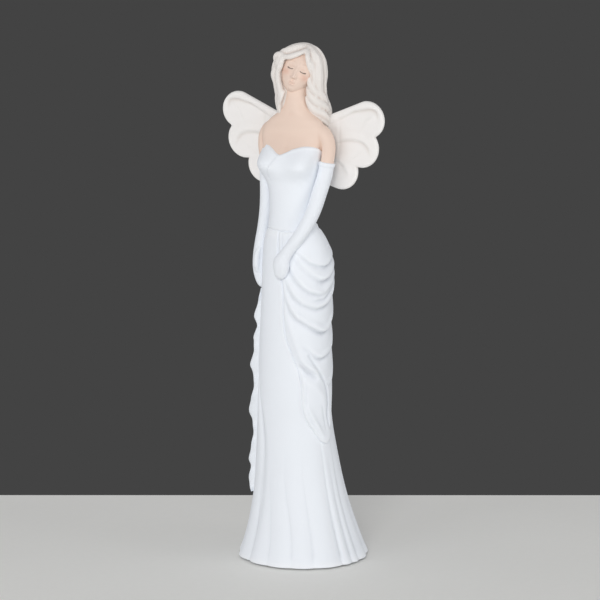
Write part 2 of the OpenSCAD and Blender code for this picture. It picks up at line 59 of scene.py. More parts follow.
VIEW_COS, VIEW_SIN = 0.883, 0.4695  # cosine and sine of the three-quarter view's turn, 28 degrees


# ---------------------------------------------------------------- camera
def place_camera():
    """A long lens, three-quarter view from her left, a little above the figure."""
    turn, distance, height = np.radians(28.0), 2300.0, 620.0
    aim, aside = 150.8, -1.72
    sensor, focal = 36.0, 245.4
    near, far = 0.05, 20.0  # metres
    across = np.array([np.cos(turn), np.sin(turn), 0.0])
    spot = np.array([np.sin(turn) * distance, -np.cos(turn) * distance, height])
    target = np.array([0.0, 0.0, aim]) + aside * across
    lens = bpy.data.cameras.new("camera")
    lens.sensor_width, lens.lens = sensor, focal
    lens.clip_start, lens.clip_end = near, far
    camera = bpy.data.objects.new("camera", lens)
    bpy.context.collection.objects.link(camera)
    camera.location = Vector(spot * MM)
    camera.rotation_euler = Vector((target - spot) * MM).to_track_quat("-Z", "Y").to_euler()
    bpy.context.scene.camera = camera


place_camera()


# ---------------------------------------------------------------- numbers and curves
def ease(x):
    """0 below 0, 1 above 1 and a smooth S between."""
    t = np.clip(x, 0.0, 1.0)
    return t * t * (3.0 - 2.0 * t)


def bell(x):
    """A bell curve, 1 at the middle."""
    return np.exp(-np.square(x))


def through(rows, at):
    """A smooth curve through rows of [position, values...], whose slope at a row is that from the row before
    to the row after."""
    rows = np.asarray(rows, float)
    place = rows[:, 0]
    after, before = np.vstack([rows[1:], rows[-1:]]), np.vstack([rows[:1], rows[:-1]])
    slope = (after - before) / (after[:, :1] - before[:, :1])
    at = np.clip(np.asarray(at, float), place[0], place[-1])
    i = np.clip(np.searchsorted(place, at, side="right") - 1, 0, len(place) - 2)
    step = (place[i + 1] - place[i])[..., None]
    t = ((at - place[i])[..., None]) / step
    value = (rows[i] * (2 * t**3 - 3 * t**2 + 1) + slope[i] * step * (t**3 - 2 * t**2 + t)
             + rows[i + 1] * (3 * t**2 - 2 * t**3) + slope[i + 1] * step * (t**3 - t**2))
    return value[..., 1:]


def outline(rows, angle, z, out=0.0):
    """A point of a cross-section at height z: an ellipse whose depth differs in front and behind, moved out.
    rows are [height, x, y, half width, depth in front, depth behind]; angle 0 is the front, 90 her left."""
    a = np.radians(angle)
    x, y, width, front, back = np.moveaxis(through(rows, z), -1, 0)
    depth = np.where(np.cos(a) > 0, front, back)
    return np.stack([x + (width + out) * np.sin(a), y - (depth + out) * np.cos(a), z + 0 * a], axis=-1)


def outward(angle):
    """The level direction out from the middle at an angle."""
    a = np.radians(angle)
    return np.stack([np.sin(a), -np.cos(a), 0 * a], axis=-1)


def nearest_on(x, z, x0, z0, x1, z1):
    """Where a straight line comes nearest to each place: the share along it, and the way from there across
    and up."""
    dx, dz = x1 - x0, z1 - z0
    t = np.clip(((x - x0) * dx + (z - z0) * dz) / (dx * dx + dz * dz), 0.0, 1.0)
    return t, x - x0 - t * dx, z - z0 - t * dz


def turned(across, toward, up):
    """A point given across, toward and up as seen from the three-quarter side, as x, y, z."""
    return [VIEW_COS * across + VIEW_SIN * toward, VIEW_SIN * across - VIEW_COS * toward, up]


# ---------------------------------------------------------------- meshes
def grid_faces(rows, columns, closed=False, flip=False):
    """Four-sided faces of a grid of points, joined round its columns when closed."""
    i = np.arange(rows - 1)[:, None]
    j = np.arange(columns if closed else columns - 1)[None, :]
    k = (j + 1) % columns
    corners = np.stack(np.broadcast_arrays(i * columns + j, i * columns + k,
                                           (i + 1) * columns + k, (i + 1) * columns + j), axis=-1)
    faces = corners.reshape(-1, 4)
    return faces[:, ::-1] if flip else faces


def new_object(name, points, faces):
    """A mesh object of points in millimetres and groups of faces."""
    mesh = bpy.data.meshes.new(name)
    corners = [face for group in faces for face in group.tolist()]
    mesh.from_pydata((np.asarray(points) * MM).tolist(), [], corners)
    mesh.validate()
    piece = bpy.data.objects.new(name, mesh)
    bpy.context.collection.objects.link(piece)
    return piece


def skin(name, rings):
    """A closed solid through rings of points, with a fan over the first ring and the last."""
    count, around = rings.shape[:2]
    points = np.vstack([rings.reshape(-1, 3), rings[0].mean(axis=0), rings[-1].mean(axis=0)])
    j = np.arange(around)
    k = (j + 1) % around
    last = (count - 1) * around
    first_fan = np.stack([np.full(around, count * around), k, j], axis=-1)
    last_fan = np.stack([np.full(around, count * around + 1), last + j, last + k], axis=-1)
    return new_object(name, points, [grid_faces(count, around, closed=True), first_fan, last_fan])


def sheet(name, outer, inner):
    """A closed sheet between two grids of points, its outer and its inner face."""
    rows, columns = outer.shape[:2]
    size = rows * columns
    number = np.arange(size).reshape(rows, columns)
    rim = np.concatenate([number[0, :-1], number[:-1, -1], number[-1, :0:-1], number[:0:-1, 0]])
    after = np.roll(rim, -1)
    edge = np.stack([rim, rim + size, after + size, after], axis=-1)
    return new_object(name, np.vstack([outer.reshape(-1, 3), inner.reshape(-1, 3)]),
                      [grid_faces(rows, columns, flip=True), grid_faces(rows, columns) + size, edge])


def coordinates(mesh):
    """The mesh's points as an array."""
    co = np.empty(len(mesh.vertices) * 3, np.float32)
    mesh.vertices.foreach_get("co", co)
    return co.reshape(-1, 3).astype(float)


def averaged(mesh, values, passes):
    """Each point's value averaged with its neighbours' along the edges, some times over."""
    ends = np.empty(len(mesh.edges) * 2, np.int32)
    mesh.edges.foreach_get("vertices", ends)
    a, b = ends.reshape(-1, 2).T
    size = len(values)
    count = (np.bincount(a, minlength=size) + np.bincount(b, minlength=size) + 1.0)[:, None]
    for _ in range(passes):
        total = values.copy()
        for c in range(values.shape[1]):
            total[:, c] += np.bincount(a, values[b, c], size) + np.bincount(b, values[a, c], size)
        values = total / count
    return values


def coat_with(piece, finish):
    """One finish over the whole piece."""
    piece.data.materials.clear()
    piece.data.materials.append(finish)


def mark(piece, name, values):
    """A number at each point of the piece, for its paint."""
    layer = piece.data.attributes.new(name, "FLOAT", "POINT")
    layer.data.foreach_set("value", np.asarray(values, np.float32).ravel())


def mark_hollows(piece, passes, full):
    """How far each point lies under (hollow) or over (ridge) its surroundings, which are averaged so many
    times, along its normal and as a share of a full depth in millimetres."""
    most = 1.5
    mesh = piece.data
    here = coordinates(mesh)
    normals = np.empty(len(mesh.vertices) * 3, np.float32)
    mesh.vertices.foreach_get("normal", normals)
    depth = np.sum((averaged(mesh, here, passes) - here) * normals.reshape(-1, 3), axis=1) / MM
    depth = averaged(mesh, depth[:, None], 2)[:, 0] / full
    mark(piece, "hollow", np.clip(depth, 0.0, most))
    mark(piece, "ridge", np.clip(-depth, 0.0, most))


def fuse(name, parts, voxel, smooth):
    """Overlapping solids made one skin: joined, remeshed on a lattice of voxels and averaged some times."""
    bpy.ops.object.select_all(action="DESELECT")
    for part in parts:
        part.select_set(True)
    bpy.context.view_layer.objects.active = parts[0]
    bpy.ops.object.join()
    piece = parts[0]
    piece.name = piece.data.name = name
    remesh = piece.modifiers.new("one skin", "REMESH")
    remesh.mode, remesh.voxel_size = "VOXEL", voxel * MM
    bpy.ops.object.modifier_apply(modifier=remesh.name)
    here = averaged(piece.data, coordinates(piece.data), smooth)
    piece.data.vertices.foreach_set("co", here.astype(np.float32).ravel())
    piece.data.update()
    return piece


def tube(name, path, around=36, steps=90, relief=None):
    """A closed tube along a smooth curve through path rows of [x, y, z, radius across, radius through].
    Its sections are ellipses square to the curve; relief(share along, angle) adds a share to the radius."""
    path = np.asarray(path, float)
    gaps = np.linalg.norm(np.diff(path[:, :3], axis=0), axis=1)
    along = np.concatenate([[0], np.cumsum(gaps)]) / gaps.sum()
    t = 0.5 - 0.5 * np.cos(np.linspace(0.0, np.pi, steps))
    spine = through(np.column_stack([along, path]), t)
    centre, across, deep = spine[:, :3], spine[:, 3:4], spine[:, 4:5]
    forward = np.gradient(centre, axis=0)
    forward /= np.linalg.norm(forward, axis=1, keepdims=True)
    side = np.cross(forward, [0.0, 1.0, 0.0])
    side /= np.linalg.norm(side, axis=1, keepdims=True)
    front = np.cross(forward, side)
    angle = np.linspace(0.0, 2 * np.pi, around, endpoint=False)[None, :, None]
    swell = 1.0 if relief is None else 1.0 + relief(t[:, None], np.degrees(angle[..., 0]))[..., None]
    wide, thick = across[:, None] * np.cos(angle), deep[:, None] * np.sin(angle)
    return skin(name, centre[:, None] + swell * (wide * side[:, None] + thick * front[:, None]))


def finish_piece(piece, paint, nodes, passes, full):
    """Smooth shading, hollows for the paint, the paint itself, and what the piece rides on and stands for."""
    piece.data.polygons.foreach_set("use_smooth", np.ones(len(piece.data.polygons), bool))
    mark_hollows(piece, passes, full)
    coat_with(piece, paint)
    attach(piece, BODY)
    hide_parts(*nodes)


# ---------------------------------------------------------------- paint and other finishes
class Wire:
    """A socket of a material's nodes. Arithmetic on it adds Math nodes, and node() adds any other node."""

    def __init__(self, tree, socket=None):
        self.tree, self.socket = tree, socket

    def node(self, kind, settings=None, inputs=None, output=0):
        made = self.tree.nodes.new(kind)
        for name, value in (settings or {}).items():
            if name == "stops":
                while len(made.color_ramp.elements) < len(value):
                    made.color_ramp.elements.new(0.5)
                for stop, (place, colour) in zip(made.color_ramp.elements, value):
                    stop.position, stop.color = place, colour
            else:
                setattr(made, name, value)
        for name, value in (inputs or {}).items():
            if isinstance(value, Wire):
                self.tree.links.new(value.socket, made.inputs[name])
            else:
                made.inputs[name].default_value = value
        return Wire(self.tree, made.outputs[output] if len(made.outputs) else None)

    def math(self, operation, a, b=0.0, clamp=False):
        return self.node("ShaderNodeMath", {"operation": operation, "use_clamp": clamp}, {0: a, 1: b})

    def __add__(self, other):
        return self.math("ADD", self, other)

    def __sub__(self, other):
        return self.math("SUBTRACT", self, other)

    def __rsub__(self, other):
        return self.math("SUBTRACT", other, self)

    def __mul__(self, other):
        return self.math("MULTIPLY", self, other)

    def __pow__(self, other):
        return self.math("POWER", self, other)

    __radd__, __rmul__ = __add__, __mul__

    def held(self):
        """Clamped between 0 and 1."""
        return self.math("ADD", self, 0.0, clamp=True)

    def mix(self, factor, a, b):
        return self.node("ShaderNodeMix", {"data_type": "RGBA"}, {0: factor, 6: a, 7: b}, 2)

    def noise(self, size, detail=3.0, rough=0.55):
        """Noise at these coordinates, with cells of so many millimetres."""
        return self.node("ShaderNodeTexNoise", {"noise_dimensions": "3D"},
                         {"Vector": self, "Scale": 1.0 / (size * MM), "Detail": detail, "Roughness": rough})

    def drawn_out(self, *scale):
        """These coordinates scaled along each axis: a small scale draws a pattern out."""
        return self.node("ShaderNodeMapping", None, {"Vector": self, "Scale": scale})

    def bump(self, strength, depth):
        """A bump of this height, so many millimetres deep."""
        inputs = {"Strength": strength, "Distance": depth * MM, "Height": self}
        return self.node("ShaderNodeBump", None, inputs)

    def attribute(self, name):
        return self.node("ShaderNodeAttribute", {"attribute_name": name}, output=2)


def linear(r, g, b):
    """A screen colour of 0 to 255 as scene light."""
    c = np.array([r, g, b]) / 255.0
    light = np.where(c <= 0.04045, c / 12.92, ((c + 0.055) / 1.055) ** 2.4)
    return (*[float(v) for v in light], 1.0)


def new_material(name):
    """An empty material, the start of its nodes and the object's coordinates."""
    material = bpy.data.materials.new(name)
    material.use_nodes = True
    material.node_tree.nodes.clear()
    start = Wire(material.node_tree)
    return material, start, start.node("ShaderNodeTexCoord", output=3)


def shade(material, start, colour, rough, bump=None, metallic=0.0, constants=None):
    """The surface shader at the end of a material's nodes."""
    inputs = {"Base Color": colour, "Roughness": rough, "Metallic": metallic}
    inputs.update(constants or {})
    if bump is not None:
        inputs["Normal"] = bump
    surface = start.node("ShaderNodeBsdfPrincipled", None, inputs)
    start.node("ShaderNodeOutputMaterial", None, {"Surface": surface})
    return material


def painted_resin(name, base, wash_and_shade, rubbed, strength, rough, extra=None):
    """Brushed matte paint on cast resin: a base coat that varies a little, a darker colour of some strength
    in the hollows that is partly a thin wash and partly painted shade, a rubbed colour on the ridges, fine
    brush marks and the slight orange peel of the spray coat. The colours are screen colours."""
    material, start, place = new_material(name)
    base = linear(*base)
    cloud = place.noise(26.0, 4.0)
    speck = place.noise(2.4, 3.0, 0.6)
    peel = place.noise(0.55, 2.0, 0.5)
    brush = place.drawn_out(1.0, 1.0, 0.16).noise(0.9, 3.0, 0.6)
    hollow = start.attribute("hollow")
    ridge = start.attribute("ridge")
    coat = start.mix((cloud - 0.35).held() * 0.9, base, [c * 0.955 for c in base[:3]] + [1.0])
    # The darker colour in the hollows is partly a real wash and partly painted shade that deepens the folds'
    # shadows
    settled_wash_and_shade = ((hollow * (0.75 + speck * 0.5)) ** 1.15 * strength).held()
    coat = start.mix(settled_wash_and_shade, coat, linear(*wash_and_shade))
    coat = start.mix((ridge * (speck * 0.9)).held() * 0.55, coat, linear(*rubbed))
    if extra is not None:
        coat = extra(start, coat, speck)
    roughness = rough + (cloud - 0.5) * 0.10 + (speck - 0.5) * 0.12 + settled_wash_and_shade * 0.08
    bump = (peel * 0.6 + brush * 0.4).bump(0.35, 0.05)
    return shade(material, start, coat, roughness, bump, constants={"Specular IOR Level": 0.22})


def face_paint(start, coat, speck):
    """Blush, lips, brows and closed lashes, brushed on by hand over the skin colour."""
    blush, lips = start.attribute("blush"), start.attribute("lips")
    lash, brow = start.attribute("lash"), start.attribute("brow")
    coat = start.mix((blush * (0.75 + speck * 0.5)).held() * 0.34, coat, linear(222, 150, 120))
    coat = start.mix(lips * 0.14, coat, linear(214, 156, 136))
    coat = start.mix((brow * (0.6 + speck * 0.6)).held() * 0.16, coat, linear(168, 128, 104))
    return start.mix(lash.held() * 0.93, coat, linear(52, 36, 30))


def felt_cloth():
    """Pressed wool felt: short tangled fibres, seen as fine mottling with a soft sheen."""
    material, start, place = new_material("wool felt")
    tangle = place.noise(0.35, 5.0, 0.75)
    tuft = place.noise(3.0)
    colour = start.mix((tangle * 0.7 + tuft * 0.3).held(), linear(176, 175, 170), linear(214, 213, 208))
    rough = 0.95 + tuft * 0.03
    return shade(material, start, colour, rough, tangle.bump(0.8, 0.15), constants={"Sheen Weight": 0.35})


def turned_beech():
    """Beech, with its grain drawn out along the piece."""
    material, start, place = new_material("beech")
    grain = place.drawn_out(1.0, 0.12, 1.0).noise(1.1, 5.0, 0.7)
    colour = start.mix(grain, linear(176, 136, 98), linear(214, 182, 142))
    return shade(material, start, colour, 0.62 + grain * 0.1, grain.bump(0.4, 0.05))


def drawn_steel():
    """Steel wire with the fine scratches of drawing."""
    material, start, place = new_material("drawn steel")
    scratch = place.noise(0.2, 4.0, 0.7)
    colour = start.mix(scratch, linear(150, 152, 156), linear(196, 198, 202))
    return shade(material, start, colour, 0.28 + scratch * 0.16, metallic=1.0)


# Each paint's base, wash-and-painted-shade and rubbed colours, the wash and shade's strength and how rough it
# dries
GOWN_PAINT = painted_resin("gown white", (242, 246, 252), (170, 174, 184), (250, 252, 255), 0.75, 0.57)
GLOVE_PAINT = painted_resin("glove white", (240, 244, 250), (168, 170, 178), (250, 252, 255), 0.45, 0.5)
SKIN_PAINT = painted_resin("skin peach", (238, 214, 199), (196, 146, 116), (250, 230, 216), 0.6, 0.54)
FACE_PAINT = painted_resin("face peach", (238, 215, 201), (196, 140, 108), (250, 230, 216), 0.6, 0.54,
                           face_paint)
HAIR_PAINT = painted_resin("hair ash", (235, 230, 226), (186, 154, 136), (246, 242, 238), 0.95, 0.55)
WING_PAINT = painted_resin("wing cream", (244, 241.5, 240), (196, 184, 174), (248, 247, 244), 0.6, 0.55)
FELT, BEECH, STEEL = felt_cloth(), turned_beech(), drawn_steel()

# The CAD nodes that stay as they are, each with its own finish
for kept, finish in (("felt_pad", FELT), ("base_plate", BEECH), ("waist_dowel", BEECH),
                     ("arm_pins", STEEL), ("neck_pin", STEEL), ("wing_pins", STEEL)):
    coat_with(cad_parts[kept], finish)


# ---------------------------------------------------------------- levels, from the frame
def level(node, corner):
    """The lowest (0) or highest (1) level of a node, in model millimetres."""
    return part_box(node)[corner][2] / MM


HEM_Z, WAIST_Z = level("gown_skirt", 0), level("gown_skirt", 1)
PLATE_R = (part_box("base_plate")[1][0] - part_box("base_plate")[0][0]) / 2 / MM
PLATE_Z, PLATE_GAP = level("base_plate", 1), 0.15
WING_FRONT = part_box("left_wing")[0][1] / MM


# ---------------------------------------------------------------- gown
GOWN = [  # sections: [height, x, y, half width, depth in front, depth behind]
    [HEM_Z, 0, 0, 37.4, 37, 38.2], [8, -0.2, -0.3, 34.4, 34, 36], [20, -0.6, -1, 30.8, 29.5, 32.5],
    [33, -1.1, -2, 27.8, 25.5, 29], [46, -1.6, -3, 25.7, 22.8, 26.5], [60, -1.9, -4.5, 24.1, 20.8, 24.5],
    [80, -2.2, -6.5, 22.1, 18.5, 22], [100, -2, -7.9, 21.2, 17, 20], [125, -2, -7.7, 20.8, 16, 19],
    [150, -1.8, -6.8, 20.2, 15.5, 19], [168, -1.4, -6, 20.6, 15, 20], [180, -1.6, -6.5, 19.6, 14, 18.5],
    [188, -2, -7.5, 17.6, 12.8, 15.5], [WAIST_Z, -2.2, -9, 14.4, 11.4, 11.8]]
# The grooves between the flutes: their angles at the hem, depths there, and the heights where they begin
FLUTE_GROOVES = [-165, -143, -118, -94, -64, -31, -7, 17, 38, 67, 79, 90, 112, 138, 168]
FLUTE_DEPTHS = [1.9, 1.7, 2.0, 2.2, 2.3, 1.35, 0.8, 0.8, 1.0, 1.4, 1.1, 1.3, 1.9, 1.9, 1.8]
FLUTE_STARTS = [84, 72, 90, 76, 96, 60, 66, 78, 84, 104, 70, 92, 80, 74, 88]


def flutes(angle, z):
    """Rounded ridges between grooves that deepen down to the hem. In front the grooves fan out a little."""
    a = angle + 10.0 * bell((angle - 2.0) / 42.0) * ease((z - 8.0) / 45.0)
    a = (a + 180.0) % 360.0 - 180.0
    grooves = np.array([FLUTE_GROOVES[-1] - 360.0, *FLUTE_GROOVES, FLUTE_GROOVES[0] + 360.0])
    depths = np.array([FLUTE_DEPTHS[-1], *FLUTE_DEPTHS])
    starts = np.array([FLUTE_STARTS[-1], *FLUTE_STARTS], float)
    index = np.clip(np.searchsorted(grooves, a, side="right") - 1, 0, len(depths) - 1)
    share = (a - grooves[index]) / (grooves[index + 1] - grooves[index])
    ridge = np.sin(np.pi * share) ** 0.8 - 0.62
    start, depth = (values[index] + (values[(index + 1) % len(values)] - values[index]) * share
                    for values in (starts, depths))
    return depth * ridge * ease((start - z) / (start - 4.0)) ** 1.1


def gathers(angle, z):
    """Soft pleats under the waist seam in front, fading out towards the hand."""
    grooves = [(-17.0, 1.5, 0.55), (-8.3, 1.0, 0.35), (-1.5, 1.4, 0.45), (11.0, 1.8, 0.25)]
    deep = sum(amount * bell((angle - middle) / wide) for middle, wide, amount in grooves)
    return -deep * ease((z - 166.0) / 14.0)


CHANNEL = [  # [height, angle, half width in degrees, depth]
    [8, -31, 7, 0], [30, -30, 7, 0.7], [54, -31, 7, 1], [69, -32, 7, 1.2], [83, -40, 7, 1.5],
    [97, -55, 6, 1.7], [108, -63, 5, 1.5], [122, -67, 4, 0.9], [150, -70, 4, 0.6], [186, -70, 4, 0]]


def side_channel(angle, z):
    """The hollow between the front panel and the frill. Downwards it leaves the frill and wanders to the
    front."""
    middle, width, deep = np.moveaxis(through(CHANNEL, z), -1, 0)
    return -deep * bell((angle - middle) / width)


def seam_tuck(z):
    """The gown draws in under the edge of the bodice."""
    return -1.1 * ease((z - WAIST_Z + 2.2) / 2.2)


# ---------------------------------------------------------------- draped overskirt
# Its fold lines: (how quickly it falls, how far that reaches, how far it swells above the line, points), the
# points [angle, height, depth]. The cloth falls away below a line that is walked from front to back.
FOLDS = [
    (1.0, 3.4, 0.3, [
        [20, 184.5, 0], [24, 182.9, 0.7], [34, 180.1, 1], [45, 176.9, 1.2], [60, 175.1, 1.6],
        [77, 174.5, 2.3], [86, 175.2, 2.4], [96, 176.7, 2], [107, 178, 1.6], [125, 180, 1.2],
        [150, 184, 0.6], [165, 187, 0]]),
    (2.0, 4.2, 0.5, [
        [15, 182, 0], [18, 180.5, 0.6], [28, 176.1, 0.9], [42, 171.3, 1], [57, 168, 1.5], [64, 166.8, 2.2],
        [72, 166.5, 3], [83.6, 167.5, 3], [93, 168.8, 2.4], [103, 171, 1.6], [120, 173.5, 1.2],
        [145, 180, 0.8], [164, 185, 0]]),
    (1.4, 3.4, 0.5, [
        [6, 177.4, 0], [8, 176.3, 0.8], [13.5, 171.9, 1.2], [22.5, 166.6, 1.3], [33, 162.9, 1.5],
        [45, 160.1, 1.7], [55, 159.2, 1.9], [65, 158.2, 1.9], [74, 158.4, 1.2], [83, 159.8, 1.2],
        [93, 161.6, 1.4], [103, 164, 1.4], [120, 168, 1.2], [145, 176, 0.8], [163, 182.5, 0]]),
    (0.7, 1.2, 0.2, [
        [50, 155.8, 0], [58, 155.2, 0.9], [66, 155.3, 1.4], [76, 155.5, 1.6], [84, 157, 1.6],
        [94, 158.8, 1.3], [104, 161, 0.8], [112, 163, 0]]),
    (1.4, 3.2, 0.55, [
        [0.5, 170, 0], [4.2, 166.5, 0.9], [12.8, 161, 1.2], [22.6, 156.6, 1.4], [34.7, 153.3, 1.4],
        [49, 151.4, 1.5], [60, 150.4, 1.7], [74.5, 151.1, 2], [83, 152.2, 2.2], [93.5, 153.7, 2],
        [110, 158, 1.4], [135, 167, 1], [162, 179, 0]]),
    (1.3, 4.5, 0.6, [
        [-5, 168, 0], [-4.2, 166.5, 0.8], [2, 159.8, 1.1], [9.8, 154, 1.2], [17.1, 149, 1.4],
        [25.7, 145.1, 1.6], [35.8, 142.9, 1.6], [46.2, 140.7, 1.6], [61.5, 137.9, 2.4], [68, 137, 2.8],
        [75.5, 136.4, 3], [84.5, 137.1, 2.8], [94, 138.6, 2.2], [100, 140.6, 1.8], [115, 144, 1.4],
        [140, 155, 1], [163, 172, 0]]),
    (0.5, 1.2, 0.2, [
        [26, 150.6, 0], [32, 148.5, 0.3], [42.4, 145.1, 0.4], [53.5, 141.7, 0.35], [60, 140.6, 0]]),
    (2.6, 4.0, 0.4, [
        [7, 147, 0], [9.2, 143.7, 0.6], [12.8, 140.3, 0.9], [19.8, 132.4, 1.1], [27.4, 125.5, 1.4],
        [33.3, 120.1, 2.5], [40, 117.2, 3.4], [50, 114.4, 3.4], [60, 112.2, 2], [68, 110, 0]]),
    (1.0, 2.4, 0.5, [
        [38, 130, 0], [41, 128.4, 0.4], [54, 124.2, 1.2], [61.7, 122.2, 1.8], [70.6, 121.4, 2.2],
        [81, 122.4, 2], [93.5, 123.8, 1.6], [110, 127, 1.2], [135, 138, 0.9], [160, 157, 0]]),
    (0.9, 1.4, 0.5, [
        [85, 108, 0], [92, 105, 0.8], [104, 106.5, 1.2], [122, 114, 1.2], [145, 131, 0.7], [160, 150, 0]])]
# Its grooves, and with a negative depth its ridges, the same on both sides: (half width, points)
GROOVES = [
    (0.9, [
        [44, 124, 0], [46.7, 123.1, 0.6], [62, 115.5, 0.9], [79.5, 106.9, 1.1], [86.1, 101.8, 1.4],
        [87.4, 95.9, 1.5], [85, 91.3, 1.4], [84.2, 87.2, 1.2], [87, 81.6, 0.9], [92, 76.5, 0]]),
    (2.8, [
        [31, 115.5, 0], [36, 112, -0.5], [50.7, 106.6, -0.9], [62, 103.3, -1.1], [72.5, 99.7, -1],
        [76, 95.3, -0.8], [74, 86, 0]]),
    (1.1, [
        [44, 96, 0], [50, 89.9, -0.6], [56.5, 85, -0.9], [63, 80.6, -0.9], [72, 75, 0]]),
    (1.3, [
        [45, 88, 0], [50, 84.5, 0.5], [57, 79, 0.7], [64, 75.6, 0.6], [70, 73, 0]]),
    (0.9, [
        [38, 113, 0], [40.3, 109.4, 0.4], [42.9, 100.6, 0.5], [43.6, 94.8, 0.4], [46, 89, 0]]),
    (0.8, [
        [68, 96, 0], [72, 92, 0.4], [76, 84, 0.5], [78, 77, 0]])]
# Its edge from the waist in front, round its tip and up behind: [angle, height]
EDGE = [
    [-17.5, 194.5], [-17.2, 189], [-16.5, 181], [-12, 171.5], [-8.7, 165.4], [-6.2, 160.4], [-4.4, 154.7],
    [-2.5, 146.2], [-0.4, 139.3], [3, 133.1], [8.5, 128.1], [13.7, 124.2], [17.1, 120.8], [21.4, 117.4],
    [25.5, 114.6], [28.9, 111.1], [31.4, 107.7], [33.1, 103.6], [33.9, 97.8], [35.1, 93.1], [37.7, 89],
    [41.4, 85.1], [46.6, 81.5], [51.9, 78.7], [57.8, 75], [63.2, 72.4], [69.2, 70.6], [76.3, 69.9],
    [83.8, 71.8], [90.4, 75.6], [97, 84], [104, 93], [115, 103], [130, 113], [148, 127], [158, 141],
    [164, 160], [167, 194.5]]
ROUND = 20.0 * np.pi / 180.0  # millimetres on the gown's surface for a degree


def from_line(x, z, points):
    """Distance from each place to a line through [x, z, depth] points, positive on its right-hand side, and
    the line's depth where it is nearest."""
    points = np.asarray(points, float)
    nearest = np.full(np.shape(x), np.inf)
    signed, depth = np.zeros(np.shape(x)), np.zeros(np.shape(x))
    for (x0, z0, *d0), (x1, z1, *d1) in zip(points[:-1], points[1:]):
        t, ex, ez = nearest_on(x, z, x0, z0, x1, z1)
        distance = np.hypot(ex, ez)
        closer = distance < nearest
        nearest = np.where(closer, distance, nearest)
        right = ex * (z1 - z0) - ez * (x1 - x0) > 0
        signed = np.where(closer, np.where(right, distance, -distance), signed)
        if d0:
            depth = np.where(closer, d0[0] + (d1[0] - d0[0]) * t, depth)
    return signed, depth


def from_gown_line(angle, z, points):
    """The same on the gown, whose lines are given in degrees and millimetres."""
    return from_line(angle * ROUND, z, [[turn * ROUND, *rest] for turn, *rest in points])


def fallen(s, quick, reach):
    """What lies below a fold's line: a quick fall at the line and a slow rise away from it."""
    return ease((s + 0.35 * quick) / (1.35 * quick)) * np.exp(-np.clip(s, 0.0, None) ** 1.5 / reach**1.5)


def fold_relief(angle, z):
    """Height of the drape over the gown, from its folds, grooves and the gathers at the waist."""
    relief = np.full(np.shape(z), 0.0)
    for quick, reach, swell, points in FOLDS:
        s, deep = from_gown_line(angle, z, points)
        relief += 0.85 * deep * (swell * bell((s + 1.3) / 1.9) - fallen(s, quick, reach))
    for wide, points in GROOVES:
        s, deep = from_gown_line(angle, z, points)
        relief -= deep * bell(s / wide)
    front_edge = 0.5 * ease((172.0 - z) / 20.0) * ease((24.0 - angle) / 20.0)
    thick = 0.55 + 1.0 * ease((angle - 4.0) / 24.0) + front_edge
    return relief + thick + gathers(angle, z)


def inside_drape(angle, z):
    """Distance inside the drape's edge, negative outside."""
    return -from_gown_line(angle, z, EDGE)[0]


def gown_surface(angle, z, out=0.0):
    """The gown's outer face: its section, flutes, gathers and side channel."""
    relief = flutes(angle, z) + side_channel(angle, z) + seam_tuck(z)
    return outline(GOWN, angle, z, out + relief)


def make_gown():
    """The gown on a grid of angle and height, sunk under the drape and rolled in at the hem, with a recess
    below for the base plate."""
    columns, rows, sunk = 420, 226, 2.6
    angle = np.linspace(-180.0, 180.0, columns, endpoint=False)
    hem = HEM_Z + np.array([0.0, 0.25, 0.7, 1.3])
    z = np.concatenate([hem, np.linspace(HEM_Z + 2.0, WAIST_Z - 0.1, rows)])
    roll = np.concatenate([[-1.0, -0.35, -0.08, 0.0], np.zeros(rows)])
    a, h = np.meshgrid(angle, z)
    wall = gown_surface(a, h, roll[:, None] - sunk * ease((inside_drape(a, h) - 0.8) / 2.5))
    ceiling, wide = PLATE_Z + PLATE_GAP, PLATE_R + PLATE_GAP
    under = [np.where(np.arange(3) < 2, outward(angle) * radius, height)
             for radius, height in ((1.0, ceiling), (wide, ceiling), (wide, HEM_Z))]
    return skin("fluted_gown", np.concatenate([np.array(under), wall]))


def make_drape():
    """The drape on a grid of angle and height: the gown's section plus the folds, drawn up over the waist at
    her hip. Outside its edge it sinks under the gown."""
    front, back, top, tip = -17.4, 167.0, WAIST_Z + 6.5, 67.5
    angle, z = np.meshgrid(np.linspace(front, back, 182), np.linspace(top, tip, 262))
    hip = bell((angle - 88.0) / 40.0)
    inside = inside_drape(angle, z)
    soft = 1.6 + 2.4 * ease((z - 92.0) / 26.0)
    lip = ease((inside + 0.35) / soft) * ease((WAIST_Z - 0.3 + 6.0 * hip - z) / (0.8 + 2.0 * hip))
    base = 0.3 * flutes(angle, z) + seam_tuck(z) * (1.0 - hip) - 2.0 * ease((z - WAIST_Z + 1.0) / 7.0)
    out = -2.2 + (2.2 + np.maximum(fold_relief(angle, z), -1.5)) * lip
    return sheet("draped_overskirt", outline(GOWN, angle, z, base + out), outline(GOWN, angle, z, base - 3.4))


# ---------------------------------------------------------------- side frill
FRILL = [  # [height, how far the edge stands out]
    [37, 0.8], [41, 2.6], [45.4, 3.8], [52, 3], [57.3, 4.5], [62, 4.1], [68, 3], [75, 2.3], [80, 3.4],
    [87.8, 6], [94, 4.6], [99.7, 3], [105.6, 2.7], [110, 4], [114.3, 5.4], [119, 4.2], [122.5, 3],
    [127.2, 3.5], [130.2, 4], [134.3, 2.1], [136.2, 1.6], [139, 2.9], [142, 4], [145, 3.7], [150.7, 1.6],
    [155.4, 0.6], [158, 0.2]]


